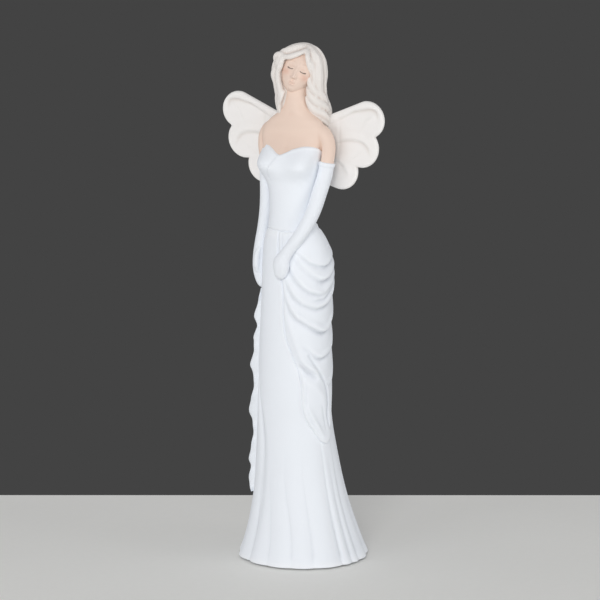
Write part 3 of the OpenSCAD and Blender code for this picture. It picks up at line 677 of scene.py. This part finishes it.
def make_frill():
    """A ruffled strip from her right hand down the gown: a grid of share along and share out, whose edge
    sways from side to side and stands out most where it sways forward."""
    along, out = np.meshgrid(np.linspace(0.0, 1.0, 340), np.linspace(0.0, 1.0, 26), indexing="ij")
    low, top = FRILL[0][0], FRILL[-1][0]
    z = top - (top - low) * along
    edge = through(FRILL, z)[..., 0]
    angle = -75.0 + 1.5 * np.sin(z / 15.0)
    root = gown_surface(angle, z, -1.0)
    a = np.radians(angle)
    sideways = np.stack([np.cos(a), np.sin(a), 0 * a], axis=-1)
    sway = 0.9 * (edge - 3.0) + 0.8 * np.sin(2 * np.pi * (z - 41.0) / 9.5)
    reach = ((edge + 1.0) * out)[..., None] * outward(angle)
    droop = np.stack([0 * z, 0 * z, -1.8 * out**2 * ease(edge / 6.0)], axis=-1)
    middle = root + reach + droop - (sway * out**1.5)[..., None] * sideways
    rounded = np.sqrt(np.clip(1.0 - (2.0 * np.clip(out - 0.5, 0, 1)) ** 6, 0.05, 1.0))
    thick = 0.5 * (3.0 - 1.9 * out) * rounded * np.clip(np.minimum(along, 1.0 - along) * 60.0, 0.25, 1.0)
    return sheet("ruffle", middle + thick[..., None] * sideways, middle - thick[..., None] * sideways)


# ---------------------------------------------------------------- bodice
BODICE = [  # sections, as the gown's
    [WAIST_Z - 1.2, -2.6, -9, 14, 11.7, 12], [203, -2.5, -8.9, 13.3, 10.9, 10.6],
    [213, -2.2, -8.8, 13.6, 11, 10.2], [222, -1.8, -8.4, 14.8, 12, 10.2], [230, -1.5, -8, 16, 13.6, 9.9],
    [237, -1.3, -7.5, 16.8, 12.8, 9.4], [244, -1.1, -6.8, 17.6, 10.2, 8.2]]
NECKLINE = [  # [angle, height]
    [-180, 233], [-140, 234], [-105, 237], [-75, 241.2], [-50, 243], [-29, 240.8], [-12, 238], [2, 239.4],
    [15, 241.4], [38, 243], [72, 241.6], [105, 238], [140, 234], [180, 233]]


def bust(angle, z):
    """Two rounds that slope gently above and turn in quickly below, and a third at her right side."""
    below = np.where(z < 232.0, 6.4, 8.6)
    ribs = np.where(z < 230.0, 8.0, 11.5)
    return (4.6 * bell((z - 232.0) / below) * (bell((angle - 35.0) / 24.0) + bell((angle + 35.0) / 24.0))
            + 4.2 * bell((z - 230.0) / ribs) * bell((angle + 66.0) / 26.0))


def wrap_seam(angle, z):
    """Her left half laps over the right along a line that falls from the neckline to her right ribs."""
    line = -12.0 - 19.0 * ease((239.0 - z) / 14.0)
    fade = ease((z - 220.0) / 6.0)
    return -0.45 * fade * ease((line - angle) / 1.2) * bell((angle - line) / 16.0)


def make_bodice():
    """The bodice on a grid of angle and share of height, rolled over at the neckline and closed inside."""
    angle = np.linspace(-180.0, 180.0, 360, endpoint=False)
    neck = through(NECKLINE, angle)[:, 0]
    low = WAIST_Z - 1.0
    a, share = np.meshgrid(angle, np.linspace(0.0, 1.0, 170))
    z = low + (neck - low) * share
    edge = -0.8 * (1.0 - ease((z - low) / 1.1))
    top_roll = 0.22 * bell((neck - z - 0.9) / 0.8) - 0.45 * (1.0 - ease((neck - z) / 0.6))
    outer = outline(BODICE, a, z, bust(a, z) + wrap_seam(a, z) + edge + top_roll)
    a2, down = np.meshgrid(angle, np.linspace(0.0, 1.0, 14))
    z2 = neck - (neck - 226.0) * down
    inner = outline(BODICE, a2, z2, bust(a2, z2) - 1.3)
    return skin("wrapped_bodice", np.concatenate([outer, inner]))


# ---------------------------------------------------------------- shoulders and upper arms
CHEST = [  # sections, as the gown's
    [224, -1.7, -8.3, 14.8, 12.2, 10.2], [230, -1.5, -8, 16, 13.6, 9.9], [237, -1.3, -7.5, 16.8, 12.9, 9.5],
    [243, -1.1, -6.9, 18.4, 10.8, 8.6], [248, -1, -6.5, 19.6, 9, 7.6], [252.5, -1, -6.4, 18.6, 7.7, 7],
    [256.5, -1, -6.4, 15.6, 6.5, 6.6], [259.5, -1.1, -6.5, 11.8, 6.1, 6.4],
    [262.5, -1.2, -6.7, 8.6, 5.9, 6.3], [266.5, -1.2, -6.7, 6.6, 5.6, 6], [272, -1, -6.3, 6.1, 5.6, 5.9],
    [279, -0.6, -5.6, 6.1, 5.6, 5.9]]
# Both upper arms, from the shoulder to inside the gloves: [x, y, z, radius across, radius through]
LEFT_ARM = [
    [11, -6.3, 252.5, 3.4, 3.6], [15.6, -6.1, 250.6, 4, 4.3], [18.6, -5.9, 246.2, 4, 4.4],
    [19.6, -5.9, 241, 3.9, 4.2], [19.1, -6.3, 235, 3.8, 4], [18.4, -7, 228, 3.7, 3.9]]
RIGHT_ARM = [
    [-13, -6.3, 252.5, 3.4, 3.6], [-17.8, -6, 250.6, 4, 4.3], [-20.8, -5.7, 246.2, 4, 4.4],
    [-21.6, -5.5, 241, 3.9, 4.2], [-21, -5.5, 235, 3.8, 4], [-20.4, -5.4, 228, 3.7, 3.9]]


def make_shoulders():
    """Chest and neck on a grid of angle and height, with soft collarbones and a hollow at the throat, fused
    with both upper arms."""
    angle = np.linspace(-180.0, 180.0, 200, endpoint=False)
    a, z = np.meshgrid(angle, np.linspace(224.0, 279.0, 110))
    cleft = -0.5 * bell(a / 7.0) * bell((z - 240.0) / 5.0)
    bones = 0.35 * (bell((a - 42.0) / 24.0) + bell((a + 42.0) / 24.0)) * bell((z - 257.5) / 1.6)
    throat = -0.4 * bell(a / 16.0) * bell((z - 260.5) / 1.8)
    under = -1.15 + bust(a, z) * 0.97 + cleft + bones + throat + 1.15 * ease((z - 246.0) / 8.0)
    armpit = 2.2 * bell((a + 62.0) / 24.0) * bell((z - 247.0) / 8.0)
    chest = skin("chest", outline(CHEST, a, z, under + armpit))
    arms = [tube("left arm", LEFT_ARM), tube("right arm", RIGHT_ARM)]
    return fuse("shoulders_and_arms", [chest, *arms], 0.42, 5)


# ---------------------------------------------------------------- gloves
LEFT_FOREARM = [  # [x, y, z, radius across, radius through]
    [18.9, -6.5, 233.6, 4.3, 4.4], [18, -7.6, 226, 4.3, 4.4], [16, -10.4, 216, 4.3, 4.4],
    [14.2, -13.9, 206.5, 4.2, 4.3], [11.4, -17.6, 198, 4, 4.1], [7.4, -20.8, 190.5, 3.7, 3.8],
    [3.2, -22.3, 184.6, 3.5, 3.5], [0.2, -23, 180, 3.9, 3.5], [-1.4, -23.2, 176.5, 4.9, 3.7],
    [-2, -22.8, 172, 4.6, 3.5], [-2.4, -22.4, 168.6, 3.4, 2.9], [-2.6, -22.1, 166.8, 1.4, 1.4]]
RIGHT_FOREARM = [
    [-21, -5.6, 233.6, 4.1, 4.3], [-20.5, -5.5, 224, 4.1, 4.2], [-20.4, -5.3, 213, 4.05, 4.2],
    [-21, -5.2, 203, 3.9, 4.1], [-22.4, -5.4, 193, 3.7, 3.9], [-23.9, -5.9, 184, 3.7, 3.8],
    [-24.6, -6.4, 177, 3.8, 4], [-24.6, -6.8, 170, 3.9, 4.1], [-23.9, -7, 164, 3.4, 3.6],
    [-22.6, -7.1, 159.5, 2.4, 2.6], [-21.8, -7.1, 157.6, 0.8, 0.9]]
RIGHT_THUMB = [
    [-23.4, -9.2, 181, 1.2, 1.2], [-24.4, -10.4, 176, 1.7, 1.5], [-24.4, -10.8, 171, 1.6, 1.4],
    [-23.8, -10.6, 167, 0.7, 0.7]]


def forearm(name, path, knuckles, deep):
    """A tube from the cuff to a closed hand: a folded band at the top, rounded over at its edge, and shallow
    grooves between the fingers from the knuckles on."""
    edge, band = 0.006, 0.03

    def relief(share, angle):
        cuff = (0.10 * ease(share / edge) * (1.0 - ease((share - band) / edge))
                - 0.30 * (1.0 - ease(share / edge)))
        fingers = deep * np.abs(np.cos(np.radians(angle * 2.0))) ** 4 * ease((share - knuckles) / 0.05)
        return cuff - fingers
    return tube(name, path, 60, 200, relief)


def make_left_glove():
    """Round the elbow to a hand that holds the gathered drape."""
    return fuse("left_gloved_arm", [forearm("left forearm", LEFT_FOREARM, 0.86, 0.035)], 0.30, 2)


def make_right_glove():
    """Down to a hand that lies along the gown, fingers down, and a thumb in front of it."""
    arm = forearm("right forearm", RIGHT_FOREARM, 0.84, 0.05)
    return fuse("right_gloved_arm", [arm, tube("right thumb", RIGHT_THUMB, 24, 40)], 0.30, 2)


# ---------------------------------------------------------------- wings
# The line between the wings, the level that their sizes are taken from, and their thickness
WING_X, WING_Z, WING_T = -1.9, 217.4, 3.2
LOBES = [  # [lobe end across and up, its radius, root across and up, its radius]
    [41.4, 40.4, 10.7, 13.5, 32.4, 7], [37, 24.1, 11.5, 10, 22.5, 8], [24.5, 10.1, 10.9, 9, 12.5, 9]]
WING_HUB = (12.0, 24.0)


def lobe_distance(x, z, lobe):
    """Distance outside a lobe, negative inside: a stadium that widens from its root to its end."""
    x1, z1, r1, x0, z0, r0 = lobe
    t, ex, ez = nearest_on(x, z, x0, z0, x1, z1)
    return np.hypot(ex, ez) - (r0 + (r1 - r0) * t)


def outside_wing(x, z):
    """Distance outside the nearest lobe, negative inside the wing."""
    return np.min([lobe_distance(x, z, lobe) for lobe in LOBES], axis=0)


def wing_reach(direction):
    """How far the wing reaches from its hub in each direction, to its lobes' far edge, found by halving."""
    near, far = np.zeros_like(direction), np.full_like(direction, 60.0)
    for _ in range(26):
        middle = (near + far) / 2
        x = WING_HUB[0] + middle * np.cos(direction)
        z = WING_HUB[1] + middle * np.sin(direction)
        inside = outside_wing(x, z) < 0
        near, far = np.where(inside, middle, near), np.where(inside, far, middle)
    return near


# Its face's folds: (how quickly it falls, how far that reaches, points [across, height, depth])
WING_FOLDS = [
    (1.3, 6.0, [
        [16, 253.5, 0], [24.6, 258.1, 0.9], [33.1, 262.5, 1.2], [41.6, 264.7, 1.2], [44.8, 264.7, 1.1],
        [48.1, 263.4, 0.9], [49, 260, 0.6], [48.4, 256, 0]]),
    (1.6, 6.5, [
        [14, 243.5, 0], [23.3, 244.7, 0.8], [27.9, 246, 1], [32.5, 246.4, 1.1], [36.4, 245.9, 1.1],
        [40.3, 244.3, 1], [42.4, 242, 0.8], [43.7, 239.4, 0.4], [44, 236.5, 0]]),
    (1.8, 5.0, [
        [19, 235.5, 0], [23.3, 233.8, 0.7], [26.6, 230.5, 0.8], [28.6, 227.2, 0.6], [30, 223.6, 0]])]
WING_ROOT = [[23.6, 262, 0], [24.2, 257, 0.12], [24, 245, 0.2], [23.2, 234, 0.18], [21, 226, 0]]


def make_wing(side):
    """A wing on a polar grid round its hub, rounded over at its edge. On the front each lobe's hollow falls
    away under the band above it; the back is gently rounded."""
    direction = np.linspace(0.0, 2 * np.pi, 400, endpoint=False)
    reach = wing_reach(direction)
    share = np.concatenate([[0.004], np.linspace(0.03, 1.0, 90) ** 0.8])
    d, s = np.meshgrid(direction, share)
    x = WING_HUB[0] + reach * s * np.cos(d)
    z = WING_HUB[1] + reach * s * np.sin(d)
    inside = -outside_wing(x, z)
    front = np.full(x.shape, 1.45)
    for quick, far, points in WING_FOLDS:
        off, deep = from_line(x, WING_Z + z, points)
        front -= deep * (fallen(off, quick, far) - 0.25 * bell((off + 1.6) / 1.8))
    off, deep = from_line(x, WING_Z + z, WING_ROOT)
    front += deep * (0.8 * ease((off + 1.0) / 2.0) * ease((9.0 - off) / 4.0) - bell(off / 0.8))
    rim = np.sqrt(np.clip(1.0 - np.square(1.0 - np.clip(inside / 1.4, 0.0, 1.0)), 0.0, 1.0))
    thick_front = front * rim
    thick_back = (0.85 + 0.35 * ease(inside / 6.0)) * rim
    centre = WING_FRONT + WING_T * 0.55
    across = WING_X + side * x
    face = np.stack([across, centre - thick_front, WING_Z + z], axis=-1)
    back = np.stack([across, centre + thick_back, WING_Z + z], axis=-1)
    rings = np.concatenate([face, back[::-1][1:]])
    if side > 0:
        rings = rings[:, ::-1]
    return skin("left_angel_wing" if side > 0 else "right_angel_wing", rings)


# ---------------------------------------------------------------- head
HEAD_AT = np.array([0.0, -5.0, 284.6])


def head_turn():
    """Pitched back, leaned to her left shoulder and turned to her left."""
    pitch, roll, yaw = np.radians([-13.0, 20.0, 17.0])
    rx = np.array([[1, 0, 0], [0, np.cos(pitch), -np.sin(pitch)], [0, np.sin(pitch), np.cos(pitch)]])
    ry = np.array([[np.cos(roll), 0, np.sin(roll)], [0, 1, 0], [-np.sin(roll), 0, np.cos(roll)]])
    rz = np.array([[np.cos(yaw), -np.sin(yaw), 0], [np.sin(yaw), np.cos(yaw), 0], [0, 0, 1]])
    return rz @ ry @ rx


def make_head():
    """The head on a grid of longitude and latitude, both finer over the face. A skull with a narrowing jaw
    carries the features, each a bell of its own place, size and height, on the usual canon: eyes at half
    height, nose to a third of the face, mouth a third of the way on to the chin."""
    s = np.linspace(-1.0, 1.0, 290, endpoint=False)
    longitude = np.pi * (0.42 * s + 0.58 * s**3)
    v = np.linspace(-0.995, 0.995, 290)
    latitude = np.pi / 2 * (0.72 * v + 0.28 * v**3)
    lon, lat = np.meshgrid(longitude, latitude)
    tall, wide = 13.4, 10.0
    z = tall * np.sin(lat)
    jaw = 1.0 - 0.16 * ease(-z / 13.0) - 0.04 * ease((z - 4) / 9.0)
    x = wide * np.cos(lat) ** 0.92 * np.sin(lon) * jaw
    front = 10.3 * np.cos(lat) ** (0.80 - 0.18 * ease(-z / 12.0)) * (1.0 - 0.05 * ease(-z / 13.0))
    behind = 11.2 * np.cos(lat) * (1.0 - 0.45 * ease(-z / 11.0))
    y = -np.where(np.cos(lon) > 0, front, behind) * np.cos(lon)
    face = ease((np.cos(lon) - 0.15) / 0.5)
    ax = np.abs(x)
    brow_bone = 0.35 * bell((z - 2.3) / 1.5) * bell(x / 6.5)
    sockets = -1.25 * bell((ax - 3.7) / 2.3) * bell((z - 0.3) / 1.9)
    eye = np.abs(ax - 3.75)
    lids = 0.85 * bell(eye / 1.75) * bell((z + 0.25) / 1.35)
    lid_line = -0.62 - 0.42 * (1.0 - np.square(eye / 1.9))
    crease = -0.22 * bell((z - lid_line) / 0.22) * ease((1.95 - eye) / 0.5)
    fold = -0.14 * bell((z - lid_line - 1.75) / 0.3) * ease((2.0 - eye) / 0.6)
    length = np.clip((1.6 - z) / 6.6, 0.0, 1.0)
    nose_ends = ease((2.6 - z) / 2.4) * ease((z + 6.1) / 0.9)
    bridge = (0.6 + 1.6 * length**1.5) * bell(x / (1.0 + 0.35 * length)) * nose_ends
    wings = 0.5 * bell((ax - 1.15) / 0.6) * bell((z + 5.3) / 0.75)
    muzzle = 0.5 * bell(x / 3.4) * bell((z + 8.4) / 2.8)
    groove = -0.22 * bell(x / 0.5) * bell((z + 6.9) / 0.7)
    bow = 0.16 * bell((ax - 0.75) / 0.6)
    upper_lip = 0.4 * bell((z + 7.85 - bow - 0.10 * ax) / 0.52) * ease((2.45 - ax) / 1.6)
    lower_lip = 0.5 * bell((z + 9.2 - 0.12 * ax) / 0.62) * ease((2.1 - ax) / 1.5)
    mouth_z = -8.58 + 0.17 * ax
    mouth = -0.2 * bell((z - mouth_z) / 0.24) * ease((2.6 - ax) / 0.9)
    under_lip = -0.22 * bell((z + 10.5) / 0.7) * bell(x / 2.3)
    chin = 0.6 * bell(x / 3.0) * bell((z + 11.6) / 1.9)
    cheeks = 0.55 * bell((ax - 4.9) / 2.4) * bell((z + 3.9) / 2.4)
    forward = (brow_bone + sockets + lids + crease + fold + bridge + wings + muzzle + groove + upper_lip
               + lower_lip + mouth + under_lip + chin + cheeks) * face
    points = np.stack([x, y - forward, z], axis=-1) @ head_turn().T + HEAD_AT
    piece = skin("painted_head", points)
    poles = [0.0, 0.0]
    front_side = face * (np.cos(lon) > 0)
    stroke = 0.23 + 0.12 * ease((ax - 3.2) / 2.2)
    lash = bell((z - lid_line) / stroke) * ease((1.95 - np.abs(ax - 3.8)) / 0.35) * front_side
    blush = bell((ax - 5.6) / 2.3) * bell((z + 3.4) / 2.0) * front_side
    lips = np.clip(bell((z + 7.9 - bow - 0.10 * ax) / 0.55) * ease((2.3 - ax) / 0.8)
                   + bell((z + 9.15 - 0.12 * ax) / 0.7) * ease((2.0 - ax) / 0.8), 0, 1) * front_side
    arch = 3.1 + 0.55 * bell((ax - 4.6) / 2.2) - 0.25 * ease((ax - 5.2) / 2.0)
    brow = bell((z - arch) / 0.32) * ease((ax - 1.7) / 0.8) * ease((6.6 - ax) / 1.6) * front_side
    for name, values in (("lash", lash), ("blush", blush), ("lips", lips), ("brow", brow)):
        mark(piece, name, np.concatenate([values.ravel(), poles]))
    return piece


# ---------------------------------------------------------------- hair
HAIR = [  # sections, as the gown's
    [252, 0.8, 0.2, 13.8, 6, 5.2], [258, 0.9, -0.6, 14.2, 7.5, 6.4], [264, 0.7, -2, 14.8, 10.5, 8.6],
    [270, 0.2, -3.2, 14.4, 12.6, 11.6], [277, -0.2, -4, 14.5, 13.2, 13.8],
    [284, -0.1, -4.5, 14.8, 13.2, 14.6], [289, 0.3, -4.5, 13.6, 12.2, 13.8],
    [293, 0.9, -4.3, 11.5, 10.9, 11.8], [296.5, 1.6, -4.2, 8, 8.2, 8.4], [298.8, 2.2, -4, 4.6, 4.8, 4.8],
    [299.9, 2.4, -4, 1.2, 1.4, 1.4]]


def strands(share, angle):
    """Ridges along a lock: three bold ones and five finer, the same at every share of its length."""
    return 0.03 * np.cos(np.radians(3.0 * angle + 40.0)) + 0.015 * np.cos(np.radians(5.0 * angle))


def lock(points, width, thick):
    """A lock of hair: a flat ridged tube that starts thin, is fullest near the middle and ends in a point."""
    points = np.asarray(points, float)
    t = np.linspace(0.0, 1.0, len(points))
    full = np.clip(np.sin(np.pi * np.clip(0.12 + 0.86 * t, 0, 1)) ** 0.55, 0.12, 1.0)
    return tube("lock", np.column_stack([points, width * full, thick * full]), 30, 60, strands)


def fall(angle_top, angle_low, z_low, wave, phase):
    """A path down the hair's outline from the crown: it comes out of the cap, goes round to its own angle and
    waves on the way down."""
    crown = 298.2
    t = np.linspace(0.0, 1.0, 11)
    z = crown + (z_low - crown) * t**1.45
    turn = angle_top + (angle_low - angle_top) * ease(t * 1.6)
    turn = turn + wave * np.sin(2 * np.pi * (1.7 * t + phase)) * t
    sway = 0.4 * np.sin(2 * np.pi * (2.3 * t + phase)) * t
    return outline(HAIR, turn, z, -1.5 + sway - 1.0 * np.clip(1.0 - t / 0.3, 0.0, 1.0))


def make_hair():
    """A cap over the skull, cut high over the face, with locks that fall round her sides and back from the
    crown and the locks listed in front, all fused into one skin."""
    top, over_face, nape, face_at = 299.4, 295.6, 262.0, 12.0
    angle = np.linspace(-180.0, 180.0, 120, endpoint=False)
    off = np.abs((angle - face_at + 180.0) % 360.0 - 180.0)
    rim = over_face + (nape - over_face) * ease((off - 44.0) / 12.0)
    a, down = np.meshgrid(angle, np.linspace(0.0, 1.0, 40))
    z = top + (rim - top) * down**1.5
    shell = outline(HAIR, a, z, -0.9)
    middle = np.array([0.4, -4.4, 0.0])
    keep = np.where(np.arange(3) < 2, 0.74 + 0.16 * ease((z - 284.0) / 14.0)[..., None], 1.0)
    lining = middle + (shell - middle) * keep
    lining[..., 2] -= 1.6 * ease((z - 286.0) / 12.0)
    parts = [skin("cap", np.concatenate([lining, shell[::-1]]))]
    rng = np.random.default_rng(7)
    for turn in np.arange(72.0, 306.0, 13.0):
        behind = 1.0 - abs(turn - 187.0) / 125.0
        low = nape - 12.0 * ease(behind * 1.4) + rng.uniform(-1.5, 1.5)
        parts.append(lock(fall(turn, turn + rng.uniform(-6, 6), low, 6.0, rng.uniform(0, 1)), 3.3, 1.6))
    for points, width, thick in FRINGE:
        parts.append(lock([turned(*p) for p in points], width, thick))
    return fuse("swept_hair", parts, 0.34, 3)


# The fringe and the locks at both temples: points as turned() takes them, half width and half thickness
FRINGE = [
    ([(2.3, 7, 298.6), (-1.1, 9.2, 298.3), (-5.2, 9.9, 297.3), (-8.6, 9.2, 296.1), (-11.5, 7.4, 295.2),
      (-13.8, 6, 294)], 2.6, 1.7),
    ([(1.7, 10.7, 297.2), (-1.1, 12.6, 295.8), (-4.6, 12.8, 294.4), (-8, 11.9, 293.3), (-10.9, 10.4, 293.2),
      (-13.2, 8, 293.2), (-14.7, 7, 291.9)], 1.6, 1.4),
    ([(0.5, 8.5, 296.4), (-3.5, 9.8, 295.4), (-7.5, 9.2, 293.8), (-10.5, 7.4, 291.8)], 3.2, 2.2),
    ([(7.4, 2, 294.6), (4.6, 3, 296.3), (1, 4.2, 297), (-3.2, 5.2, 296.6), (-7.4, 5.2, 294.9),
      (-11, 4.4, 292.3), (-13, 3.6, 289.3)], 3.6, 1.8),
    ([(-10.9, 10.6, 293.2), (-12.4, 10.2, 290.5), (-13.2, 10, 287.6), (-14.1, 9, 285.1),
      (-15.6, 7.5, 283.1)], 1.9, 1.6),
    ([(-14, 7.8, 293.8), (-14.3, 7.4, 291), (-14.2, 7.2, 287.8), (-15.2, 6.8, 285.2), (-16, 6.2, 282.8),
      (-15.3, 5.8, 279.6), (-14.2, 5.7, 276), (-13.9, 5.2, 271.7), (-14.3, 4.2, 267.6), (-14.1, 3.2, 263.3),
      (-13.6, 1.8, 258)], 2.5, 1.9),
    ([(-12.9, 10.2, 289.2), (-13.9, 9.4, 285.6), (-14.2, 8.8, 281.4), (-13.7, 8.6, 277.8), (-13, 8.2, 274.6),
      (-12.9, 7.4, 270.9), (-13.5, 6, 266.6), (-13.2, 4.6, 261.2), (-12.8, 2.6, 257)], 1.8, 1.6),
    ([(-10.7, 8, 273.7), (-11.5, 8.5, 271.8), (-12.4, 8.5, 269.6), (-13, 7.5, 267.1),
      (-13.8, 6, 264.5)], 1.1, 1),
    ([(2.3, 7.6, 298.3), (2.5, 11.2, 296.1), (2.6, 13.3, 293.4), (3.2, 13.5, 289.4), (4.6, 12.5, 285.2),
      (6, 11, 281), (6.6, 10, 277.3)], 1.5, 1.4),
    ([(2.9, 6.4, 298.2), (5, 10.2, 295.5), (6.3, 11.5, 291.3), (8, 10.8, 286.6), (9.2, 9.6, 281.8),
      (8.9, 9, 277.7), (7.5, 8.8, 274.8)], 2.4, 1.8),
    ([(3.4, 5.4, 298.2), (7.4, 7, 295.4), (9.9, 7, 290.8), (10.7, 6.5, 285.2), (10.9, 6, 279.4),
      (10.4, 5.5, 274.7), (10.2, 5, 271.3)], 3.2, 2.2),
    ([(3.4, 11.5, 281.5), (4.3, 12, 277.4), (6.3, 11.9, 274.2), (8.8, 11, 272.4), (11, 9.4, 270.2),
      (12.6, 7.4, 267.4), (14, 5, 264.3)], 2.4, 2),
    ([(3.3, 10, 275.2), (4.1, 10.8, 271.6), (6, 11, 268.8), (8.6, 10.4, 266.8), (11.3, 9, 265.2),
      (13.6, 7, 263.2), (15.2, 4.5, 260.6)], 2.4, 2),
    ([(2.4, 8.5, 270.6), (3.2, 9.4, 267.4), (4.9, 9.9, 264.6), (7.2, 9.8, 262.5), (9.8, 9, 261),
      (12.4, 7.6, 258.9), (14.4, 5.6, 256), (15.2, 4, 252.8)], 2.4, 2),
    ([(2.4, 7.4, 266.2), (4, 8.5, 262.6), (6.3, 8.8, 260), (9.2, 8.2, 257.8), (12.1, 7, 255.4),
      (14.5, 5, 252.4)], 1.8, 1.5),
    ([(11.4, 2, 275.2), (11.6, 2, 271.2), (12.4, 1.5, 267.1), (13.9, 1, 263.5), (14.6, 0, 259.9),
      (14.4, -1, 256.2)], 2.2, 2),
    ([(11.4, 4, 269), (12.6, 3.6, 264.5), (13.8, 2.8, 260), (14.8, 1.4, 254.5)], 3.2, 2.6),
    ([(3.2, 6.6, 284), (3.8, 6.4, 274), (5.4, 5.4, 266), (8.4, 4, 259)], 3.4, 2.6),
    ([(-11.2, 5.2, 284), (-10.8, 4.8, 274), (-10.8, 3.6, 266), (-11.6, 1.6, 256)], 3.6, 2.6),
    ([(-12.6, 9.4, 293.6), (-13.4, 8.8, 290.6), (-13.8, 8, 287.2), (-14, 7, 284)], 2.4, 2),
    ([(-10.6, 10.2, 293.9), (-13, 8.6, 294.2), (-14.9, 7, 293.1), (-15.2, 6.4, 290.6),
      (-13.8, 7, 289.1)], 1.9, 1.6)]


# ---------------------------------------------------------------- the pieces
# Each piece's passes and full depth set how broad and deep its wash and painted shade in the hollows lie
finish_piece(make_gown(), GOWN_PAINT, ["gown_skirt"], 24, 0.9)
finish_piece(make_drape(), GOWN_PAINT, ["overskirt_drape"], 18, 0.8)
finish_piece(make_frill(), GOWN_PAINT, ["side_frill"], 14, 0.8)
finish_piece(make_bodice(), GOWN_PAINT, ["bodice"], 16, 0.6)
finish_piece(make_shoulders(), SKIN_PAINT, ["shoulders", "left_upper_arm", "right_upper_arm"],
             30, 0.8)
finish_piece(make_left_glove(), GLOVE_PAINT, ["left_glove"], 20, 0.6)
finish_piece(make_right_glove(), GLOVE_PAINT, ["right_glove"], 20, 0.6)
finish_piece(make_head(), FACE_PAINT, ["head"], 24, 0.35)
finish_piece(make_hair(), HAIR_PAINT, ["hair"], 14, 0.45)
finish_piece(make_wing(1), WING_PAINT, ["left_wing"], 22, 0.5)
finish_piece(make_wing(-1), WING_PAINT, ["right_wing"], 22, 0.5)


# ---------------------------------------------------------------- table, light and surroundings
def make_table():
    """A pale table top that ends a little way behind the figure, square to the camera's direction."""
    half, back, front, thick = 1500, -139, 2400, 18.0
    corners = [turned(x, y, 0) for x, y in ((-half, back), (half, back), (half, front), (-half, front))]
    drop = [[c[0], c[1], -thick] for c in corners]
    points = np.array(corners + drop)
    faces = [np.array([[3, 2, 1, 0], [4, 5, 6, 7], [0, 1, 5, 4], [1, 2, 6, 5], [2, 3, 7, 6], [3, 0, 4, 7]])]
    table = new_object("table", points, faces)
    material, start, place = new_material("table top")
    speck = place.noise(4.0, 4.0, 0.65)
    cloud = place.noise(120.0, 2.0)
    colour = start.mix((speck * 0.5 + cloud * 0.5).held(), linear(240, 240, 237), linear(250, 250, 247))
    coat_with(table, shade(material, start, colour, 0.75 + speck * 0.1))


def area_light(name, across, toward, up, size, power, colour):
    """A round soft light at a place that turned() gives, facing the middle of the figure."""
    lamp = bpy.data.lights.new(name, "AREA")
    lamp.shape, lamp.size, lamp.energy, lamp.color = "DISK", size * MM, power, colour
    light = bpy.data.objects.new(name, lamp)
    bpy.context.collection.objects.link(light)
    spot = Vector(turned(across, toward, up)) * MM
    light.location = spot
    middle = Vector((0, 0, MODEL_HEIGHT / 2 * MM))
    light.rotation_euler = (middle - spot).to_track_quat("-Z", "Y").to_euler()


def make_surroundings():
    """A dark grey room as the camera sees it, and a brighter one as light on the figure."""
    world = bpy.data.worlds.new("room")
    bpy.context.scene.world = world
    world.use_nodes = True
    world.node_tree.nodes.clear()
    start = Wire(world.node_tree)
    seen = start.node("ShaderNodeLightPath")
    colour = start.mix(seen, (0.4, 0.4, 0.405, 1.0), linear(67, 67, 67))
    sky = start.node("ShaderNodeBackground", None, {"Color": colour, "Strength": 1.0})
    start.node("ShaderNodeOutputWorld", None, {"Surface": sky})


make_table()
make_surroundings()
area_light("key", -480, 2560, 1460, 1080, 24.0, (1.0, 0.99, 0.97))
area_light("low", 1250, 700, 60, 700, 6.2, (0.98, 0.99, 1.0))
area_light("fill", -1000, 1100, 260, 900, 4.5, (0.97, 0.98, 1.0))
scene = bpy.context.scene
scene.view_settings.view_transform = "Standard"
scene.view_settings.look = "None"
